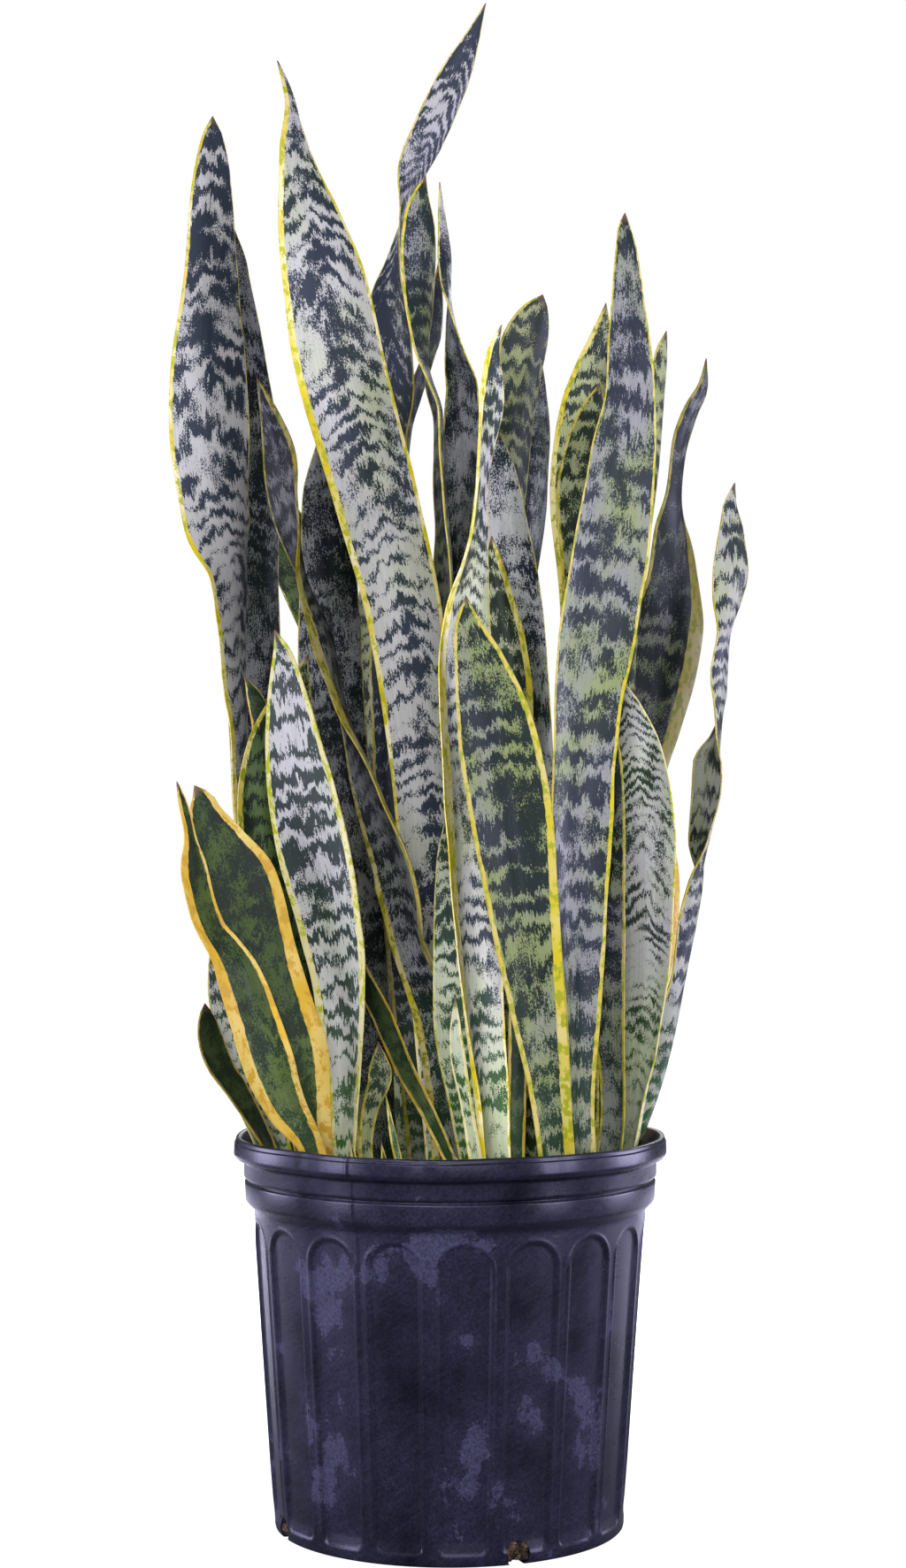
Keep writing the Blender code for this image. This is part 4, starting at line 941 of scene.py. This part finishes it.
def mould_pot():
    """The blow-moulded pot: turned, pressed with its panels, a little dented, and drained."""
    pot = spin_outline("nursery_pot", pot_outline(), POT_SEGMENTS)
    points = points_of(pot) / MM
    radius = np.hypot(points[:, 0], points[:, 1])
    on_axis = radius < ON_AXIS
    angle = np.arctan2(points[:, 1], points[:, 0])
    height = points[:, 2]
    outside = radius > body_radius(height) - 1.0
    on_body = outside & (height < PANEL_TOP + 3) & (height > PANEL_BOTTOM - 2)
    radius = np.where(on_body, radius - panel_press(angle, height), radius)
    # Handling has left the upper wall slightly out of round, and the rim slightly wavy.
    upper = np.clip((height - LOOSE_WALL_FROM) / LOOSE_WALL_RISE, 0, 1)
    radius += upper * wave_around(angle, WALL_WAVES)
    rim = np.clip((height - LOOSE_RIM_FROM) / LOOSE_RIM_RISE, 0, 1)
    rise = wave_around(angle, RIM_WAVES)
    beside_seam = (np.degrees(angle) - SEAM_ANGLE) * math.pi / 180 * radius
    seam = np.exp(-(beside_seam / SEAM_WIDTH) ** 2) * (height > SEAM_FROM) * outside
    radius += SEAM_HEIGHT * seam
    for dent_angle, dent_width, depth in RIM_DENTS:
        away = (np.degrees(angle) - dent_angle) / dent_width
        radius -= rim * depth * np.exp(-away * away)
    radius[on_axis] = 0
    points = np.stack([radius * np.cos(angle), radius * np.sin(angle), height + rim * rise], axis=1)
    place_points(pot, points * MM)
    for turn in DRAIN_HOLE_ANGLES:
        cut_drain_hole(pot, turn)
    activate(pot)
    bpy.ops.object.shade_smooth_by_angle(angle=math.radians(50))
    pot.data.materials.clear()
    pot.data.materials.append(POT_PLASTIC)
    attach(pot, "root")
    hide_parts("pot")


def cut_drain_hole(pot, turn):
    deselect_all()
    middle = (BASE_RADIUS * math.cos(turn), BASE_RADIUS * math.sin(turn), DRAIN_HOLE_HEIGHT)
    bpy.ops.mesh.primitive_cylinder_add(
        vertices=36, radius=DRAIN_HOLE_RADIUS * MM, depth=CUTTER_LENGTH * MM,
        location=[value * MM for value in middle],
        rotation=(0, math.radians(90), turn))
    cutter = bpy.context.object
    apply_modifier(pot, "BOOLEAN", operation="DIFFERENCE", solver="MANIFOLD", object=cutter)
    bpy.data.objects.remove(cutter)


def pot_plastic():
    """Recycled polypropylene, blow-moulded: black with a blue-violet cast, a soft shine, fine
    grain from the mould, and a film of dust and dried water. The film's lighter patches are
    painted soft highlights as well as dust."""
    material, tree, shader = new_material("black_polypropylene")
    place = add(tree, "TexCoord").node.outputs["Object"]
    # Grain of 1.5 mm, about twice as coarse as the real one, so that it shows.
    grain = add(tree, "TexNoise", {"Vector": place, "Scale": 620.0, "Detail": 3.0,
                                   "Roughness": 0.7})
    # Rub marks: slanting streaks about 2 mm wide and 15 mm long.
    turned = add(tree, "VectorRotate", {"Vector": place, "Angle": 0.6}, rotation_type="Y_AXIS")
    rub = drawn_noise(tree, turned, (70.0, 70.0, 520.0), 2.0)
    # Clouds of dust 20 to 60 mm wide, and drips that run down. Their lighter patches are also
    # painted soft highlights.
    cloud = add(tree, "TexNoise", {"Vector": place, "Scale": 21.0, "Detail": 4.0,
                                   "Roughness": 0.55})
    drip = drawn_noise(tree, place, (60.0, 60.0, 9.0), 3.0)
    dust_and_sheen = add(tree, "Math", {0: drip, 1: 0.30, 2: cloud}, operation="MULTIPLY_ADD")
    dust_and_sheen = add(tree, "Math", {0: grain, 1: 0.10, 2: dust_and_sheen}, operation="MULTIPLY_ADD")
    # Crisp lighter patches of the film: dust and dried water, and painted soft highlights.
    dust_and_sheen_patches = add(tree, "MapRange", {"Value": dust_and_sheen, "From Min": 0.82, "From Max": 0.84})
    haze = add(tree, "MapRange", {"Value": dust_and_sheen, "From Min": 0.44, "From Max": 1.15})
    dust_and_sheen = add(tree, "Math", {0: dust_and_sheen_patches, 1: 0.62, 2: haze}, operation="MULTIPLY_ADD")
    rubbed = add(tree, "Math", {0: rub, 1: 0.5}, operation="SUBTRACT")
    dust_and_sheen = add(tree, "Math", {0: rubbed, 1: 0.42, 2: dust_and_sheen}, operation="MULTIPLY_ADD")
    dust_and_sheen = add(tree, "Math", {0: dust_and_sheen, 1: 0.24}, operation="MULTIPLY", use_clamp=True)
    # The lavender of the film lightens the black: dust, and in its patches a painted sheen.
    tint = add(tree, "Mix", {0: dust_and_sheen, 6: linear("#030309"), 7: linear("#5e5c84")}, data_type="RGBA")
    # Light and dark specks of the grain in the colour: moulded grain, and painted glints of the shine.
    grain_and_glints = add(tree, "MapRange", {"Value": grain, "From Min": 0.3, "From Max": 0.7,
                                         "To Min": 0.35, "To Max": 1.65})
    tint = add(tree, "VectorMath", {0: tint, "Scale": grain_and_glints}, operation="SCALE")
    tree.links.new(tint, shader.inputs["Base Color"])
    rough = add(tree, "MapRange", {"Value": dust_and_sheen, "From Max": 0.30, "To Min": 0.23,
                                   "To Max": 0.46})
    tree.links.new(rough, shader.inputs["Roughness"])
    bump = add(tree, "Bump", {"Height": grain, "Strength": 0.50, "Distance": 0.15 * MM})
    tree.links.new(bump, shader.inputs["Normal"])
    shader.inputs["IOR"].default_value = 1.49
    shader.inputs["Specular Tint"].default_value = (0.70, 0.67, 1.0, 1.0)
    return material


POT_PLASTIC = pot_plastic()


# ---- potting mix ----

# The gap between the mix and the pot, which only its underside shows.
MIX_GAP = 0.4
# The mix turns with the wall over this height, at the shoulder, the ring and its top edge.
MIX_STEP = 6
SOIL_RADIUS = RIM_RADIUS - NECK_STEP - GROOVE_DEPTH - WALL - MIX_GAP
SOIL_RINGS = 48
SOIL_SEGMENTS = 180
CHIP_COUNT = 1500
CHIP_SHAPES = 6
CHIPS_AT_A_HOLE = 130
# Half lengths of the chips on top and at the drain holes, and how far they lean, in radians.
CHIP_LENGTHS = (1.6, 6.5)
HOLE_CHIP_LENGTHS = (1.2, 3.4)
CHIP_LEAN = 0.35
LOWEST_CHIP = 0.6


def bark_material():
    """Composted pine bark with peat: broken, dull and dusty, from near black to red-brown."""
    material, tree, shader = new_material("pine_bark_mix")
    place = add(tree, "TexCoord").node.outputs["Object"]
    shade = add(tree, "Attribute", attribute_name="shade").node.outputs["Fac"]
    # Fibres of about 1 mm.
    fibre = add(tree, "TexNoise", {"Vector": place, "Scale": 900.0, "Detail": 4.0,
                                   "Roughness": 0.7})
    mixed = add(tree, "Math", {0: fibre, 1: 0.6, 2: shade}, operation="MULTIPLY_ADD")
    mixed = add(tree, "MapRange", {"Value": mixed, "From Min": 0.25, "From Max": 1.25})
    ramp = add(tree, "ValToRGB", {"Fac": mixed})
    stops = ramp.node.color_ramp
    stops.elements[0].color = linear("#17120f")
    stops.elements[1].color = linear("#8a705c")
    stops.elements.new(0.45).color = linear("#33261e")
    stops.elements.new(0.75).color = linear("#5a4334")
    tree.links.new(ramp, shader.inputs["Base Color"])
    bump = add(tree, "Bump", {"Height": fibre, "Strength": 0.8, "Distance": 0.6 * MM})
    tree.links.new(bump, shader.inputs["Normal"])
    shader.inputs["Roughness"].default_value = 0.92
    shader.inputs["IOR"].default_value = 1.45
    return material


BARK_MIX = bark_material()


def soil_height(x, y):
    """Height of the mix's uneven top above its own level, in millimetres."""
    lumps = noise.noise(Vector((x / 16, y / 16, 1.7))) * 3.0
    lumps += noise.noise(Vector((x / 6, y / 6, 5.2))) * 1.4
    return lumps - 1.5


def fill_pot():
    """The mix itself: a turned plug with a lumpy top."""
    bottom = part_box("soil")[0].z / MM
    shoulder = ring_bottom() - SHOULDER_DROP
    low = shoulder - MIX_STEP
    outline = [(0, bottom), (inner_radius(bottom) - MIX_GAP, bottom), (inner_radius(low) - MIX_GAP, low)]
    outline += [(SOIL_RADIUS, ring_bottom() + MIX_STEP), (SOIL_RADIUS, SOIL_TOP - MIX_STEP)]
    outline += [(radius, SOIL_TOP) for radius in np.linspace(SOIL_RADIUS, 0, SOIL_RINGS)]
    mix = spin_outline("potting_mix", outline, SOIL_SEGMENTS)
    points = points_of(mix) / MM
    for point in points:
        if point[2] > SOIL_TOP - 1:
            point[2] += soil_height(point[0], point[1])
    place_points(mix, points * MM)
    note_on_points(mix, "shade", np.full(len(points), 0.1))
    activate(mix)
    bpy.ops.object.shade_smooth_by_angle(angle=math.radians(60))
    mix.data.materials.append(BARK_MIX)
    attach(mix, "root")
    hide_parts("soil")


def chip_shape(dice):
    """One broken chip: a cube flattened, its corners cut off by slanting planes."""
    deselect_all()
    bpy.ops.mesh.primitive_cube_add(size=2)
    chip = bpy.context.object
    bpy.ops.object.mode_set(mode="EDIT")
    for _ in range(5):
        bpy.ops.mesh.select_all(action="SELECT")
        slant = Vector(dice.normal(size=3)).normalized()
        bpy.ops.mesh.bisect(
            plane_co=slant * dice.uniform(0.85, 1.15), plane_no=slant, use_fill=True, clear_outer=True)
    bpy.ops.object.mode_set(mode="OBJECT")
    return chip


def lay_chip(heap, shape, size, pose, middle):
    """Adds one chip to the heap of points and faces, with none of it under the floor."""
    points, faces = heap
    start = len(points)
    for vertex in shape.data.vertices:
        point = pose @ Vector(a * b for a, b in zip(vertex.co, size)) + middle
        point.z = max(point.z, LOWEST_CHIP)
        points.append(point)
    faces += [[start + i for i in face.vertices] for face in shape.data.polygons]


def scatter_bark():
    """Loose chips over the mix, each one of a few shapes, laid nearly flat, and more at the holes."""
    dice = np.random.default_rng(7)
    shapes = [chip_shape(dice) for _ in range(CHIP_SHAPES)]
    heap = [], []
    shades = []
    for _ in range(CHIP_COUNT):
        shape = shapes[dice.integers(CHIP_SHAPES)]
        far = (SOIL_RADIUS - 3) * math.sqrt(dice.uniform())
        turn = dice.uniform(0, 2 * math.pi)
        x, y = far * math.cos(turn), far * math.sin(turn)
        long = dice.uniform(*CHIP_LENGTHS)
        size = Vector((long, long * dice.uniform(0.4, 0.9), long * dice.uniform(0.15, 0.4)))
        lean = Matrix.Rotation(dice.normal(0, CHIP_LEAN), 3, "X")
        lean = lean @ Matrix.Rotation(dice.normal(0, CHIP_LEAN), 3, "Y")
        pose = Matrix.Rotation(dice.uniform(0, 2 * math.pi), 3, "Z") @ lean
        z = SOIL_TOP + soil_height(x, y) + size.z * 0.6
        limit = SOIL_RADIUS + 1 - long
        if far > limit:
            x, y = x * limit / far, y * limit / far
        lay_chip(heap, shape, size, pose, Vector((x, y, z)))
        shades += [dice.uniform(0.0, 0.75)] * len(shape.data.vertices)
    for turn in DRAIN_HOLE_ANGLES:
        for _ in range(CHIPS_AT_A_HOLE):
            shape = shapes[dice.integers(CHIP_SHAPES)]
            long = dice.uniform(*HOLE_CHIP_LENGTHS)
            size = Vector((long, long * dice.uniform(0.3, 0.8), long * dice.uniform(0.2, 0.5)))
            pose = Matrix.Rotation(dice.uniform(0, 6.3), 3, "Z")
            pose = pose @ Matrix.Rotation(dice.uniform(0, 6.3), 3, "X")
            far = BASE_RADIUS - dice.uniform(3.0, 7.0)
            aside = dice.uniform(-DRAIN_HOLE_RADIUS, DRAIN_HOLE_RADIUS) / far
            z = dice.uniform(2.5, DRAIN_HOLE_HEIGHT + DRAIN_HOLE_RADIUS)
            middle = Vector((far * math.cos(turn + aside), far * math.sin(turn + aside), z))
            lay_chip(heap, shape, size, pose, middle)
            shades += [dice.uniform(0.0, 0.9)] * len(shape.data.vertices)
    for shape in shapes:
        bpy.data.objects.remove(shape)
    mesh = bpy.data.meshes.new("bark_chips")
    mesh.from_pydata([point * MM for point in heap[0]], [], heap[1])
    chips = bpy.data.objects.new("bark_chips", mesh)
    bpy.context.scene.collection.objects.link(chips)
    note_on_points(chips, "shade", shades)
    chips.data.materials.append(BARK_MIX)
    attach(chips, "root")


# ---- floor, lights and camera ----

def build_stage():
    deselect_all()
    bpy.ops.mesh.primitive_plane_add(size=40)
    floor = bpy.context.object
    floor.name = "floor"
    material, tree, shader = new_material("pale_floor")
    shader.inputs["Base Color"].default_value = (0.15, 0.15, 0.165, 1.0)
    shader.inputs["Roughness"].default_value = 0.9
    # White paper to the camera, but a dim floor in the pot's reflections.
    seen = add(tree, "LightPath")
    tree.links.new(seen, shader.inputs["Emission Strength"])
    shader.inputs["Emission Color"].default_value = (1.0, 1.0, 1.0, 1.0)
    floor.data.materials.append(material)

    world = bpy.data.worlds.new("studio")
    world.use_nodes = True
    bpy.context.scene.world = world
    back = world.node_tree.nodes["Background"]
    # The camera sees white paper, and the plant is lit by a dimmer room.
    seen = add(world.node_tree, "LightPath")
    room = add(world.node_tree, "MapRange", {"Value": seen, "To Min": 0.16, "To Max": 1.0})
    back.inputs["Color"].default_value = (1.0, 1.0, 1.0, 1.0)
    world.node_tree.links.new(room, back.inputs["Strength"])


def soft_light(name, place, target, size, power, colour=(1.0, 1.0, 1.0)):
    lamp = bpy.data.lights.new(name, "AREA")
    lamp.shape = "RECTANGLE"
    lamp.size, lamp.size_y = size
    lamp.energy = power
    lamp.color = colour
    light = bpy.data.objects.new(name, lamp)
    light.location = place
    aim = Vector(target) - Vector(place)
    light.rotation_euler = aim.to_track_quat("-Z", "Y").to_euler()
    light.visible_camera = False
    bpy.context.scene.collection.objects.link(light)
    return lamp


def build_lights():
    middle = (0, 0, 0.45)
    soft_light("key", (-0.7, -2.5, 1.7), middle, (1.6, 1.2), 44)
    soft_light("front_fill", (0.35, -2.5, 0.8), (0, 0, 0.5), (1.4, 0.9), 13)
    soft_light("left_front", (-1.35, -0.75, 0.62), (0, 0, 0.55), (0.40, 1.2), 17, (0.92, 0.90, 1.0))
    soft_light("right_front", (1.35, -0.85, 0.62), (0, 0, 0.55), (0.40, 1.2), 15, (0.92, 0.90, 1.0))
    soft_light("left_side", (-1.5, 0.45, 0.36), (0, 0, 0.3), (0.6, 0.66), 11, (0.78, 0.75, 1.0))
    soft_light("right_side", (1.5, 0.45, 0.36), (0, 0, 0.3), (0.6, 0.66), 13, (0.78, 0.75, 1.0))
    # The floor behind the pot is lit from above, and shines along the pot's two sides.
    low_back = soft_light("floor_behind", (0, 0.95, 0.75), (0, 0.95, 0), (1.9, 0.9), 66, (0.84, 0.82, 1.0))
    low_back.spread = math.radians(80)
    soft_light("back", (0.4, 2.4, 1.6), middle, (1.6, 1.0), 34)


def build_camera():
    """An upright portrait view from 1.8 m in front, at half the plant's height."""
    lens = bpy.data.cameras.new("camera")
    lens.sensor_fit = "VERTICAL"
    lens.sensor_height = 24.0
    lens.lens = 42.98
    camera = bpy.data.objects.new("camera", lens)
    camera.location = (0.0023, -1.8, 0.45)
    camera.rotation_euler = (math.radians(90.695), 0, 0)
    bpy.context.scene.collection.objects.link(camera)
    bpy.context.scene.camera = camera
    bpy.context.scene.view_settings.view_transform = "Standard"


build_camera()
build_lights()
build_stage()
mould_pot()
fill_pot()
scatter_bark()
for number, (leaf_name, (leaf_finish, leaf_rows)) in enumerate(LEAVES.items()):
    grow_leaf(leaf_name, leaf_finish, leaf_rows, number + 1)
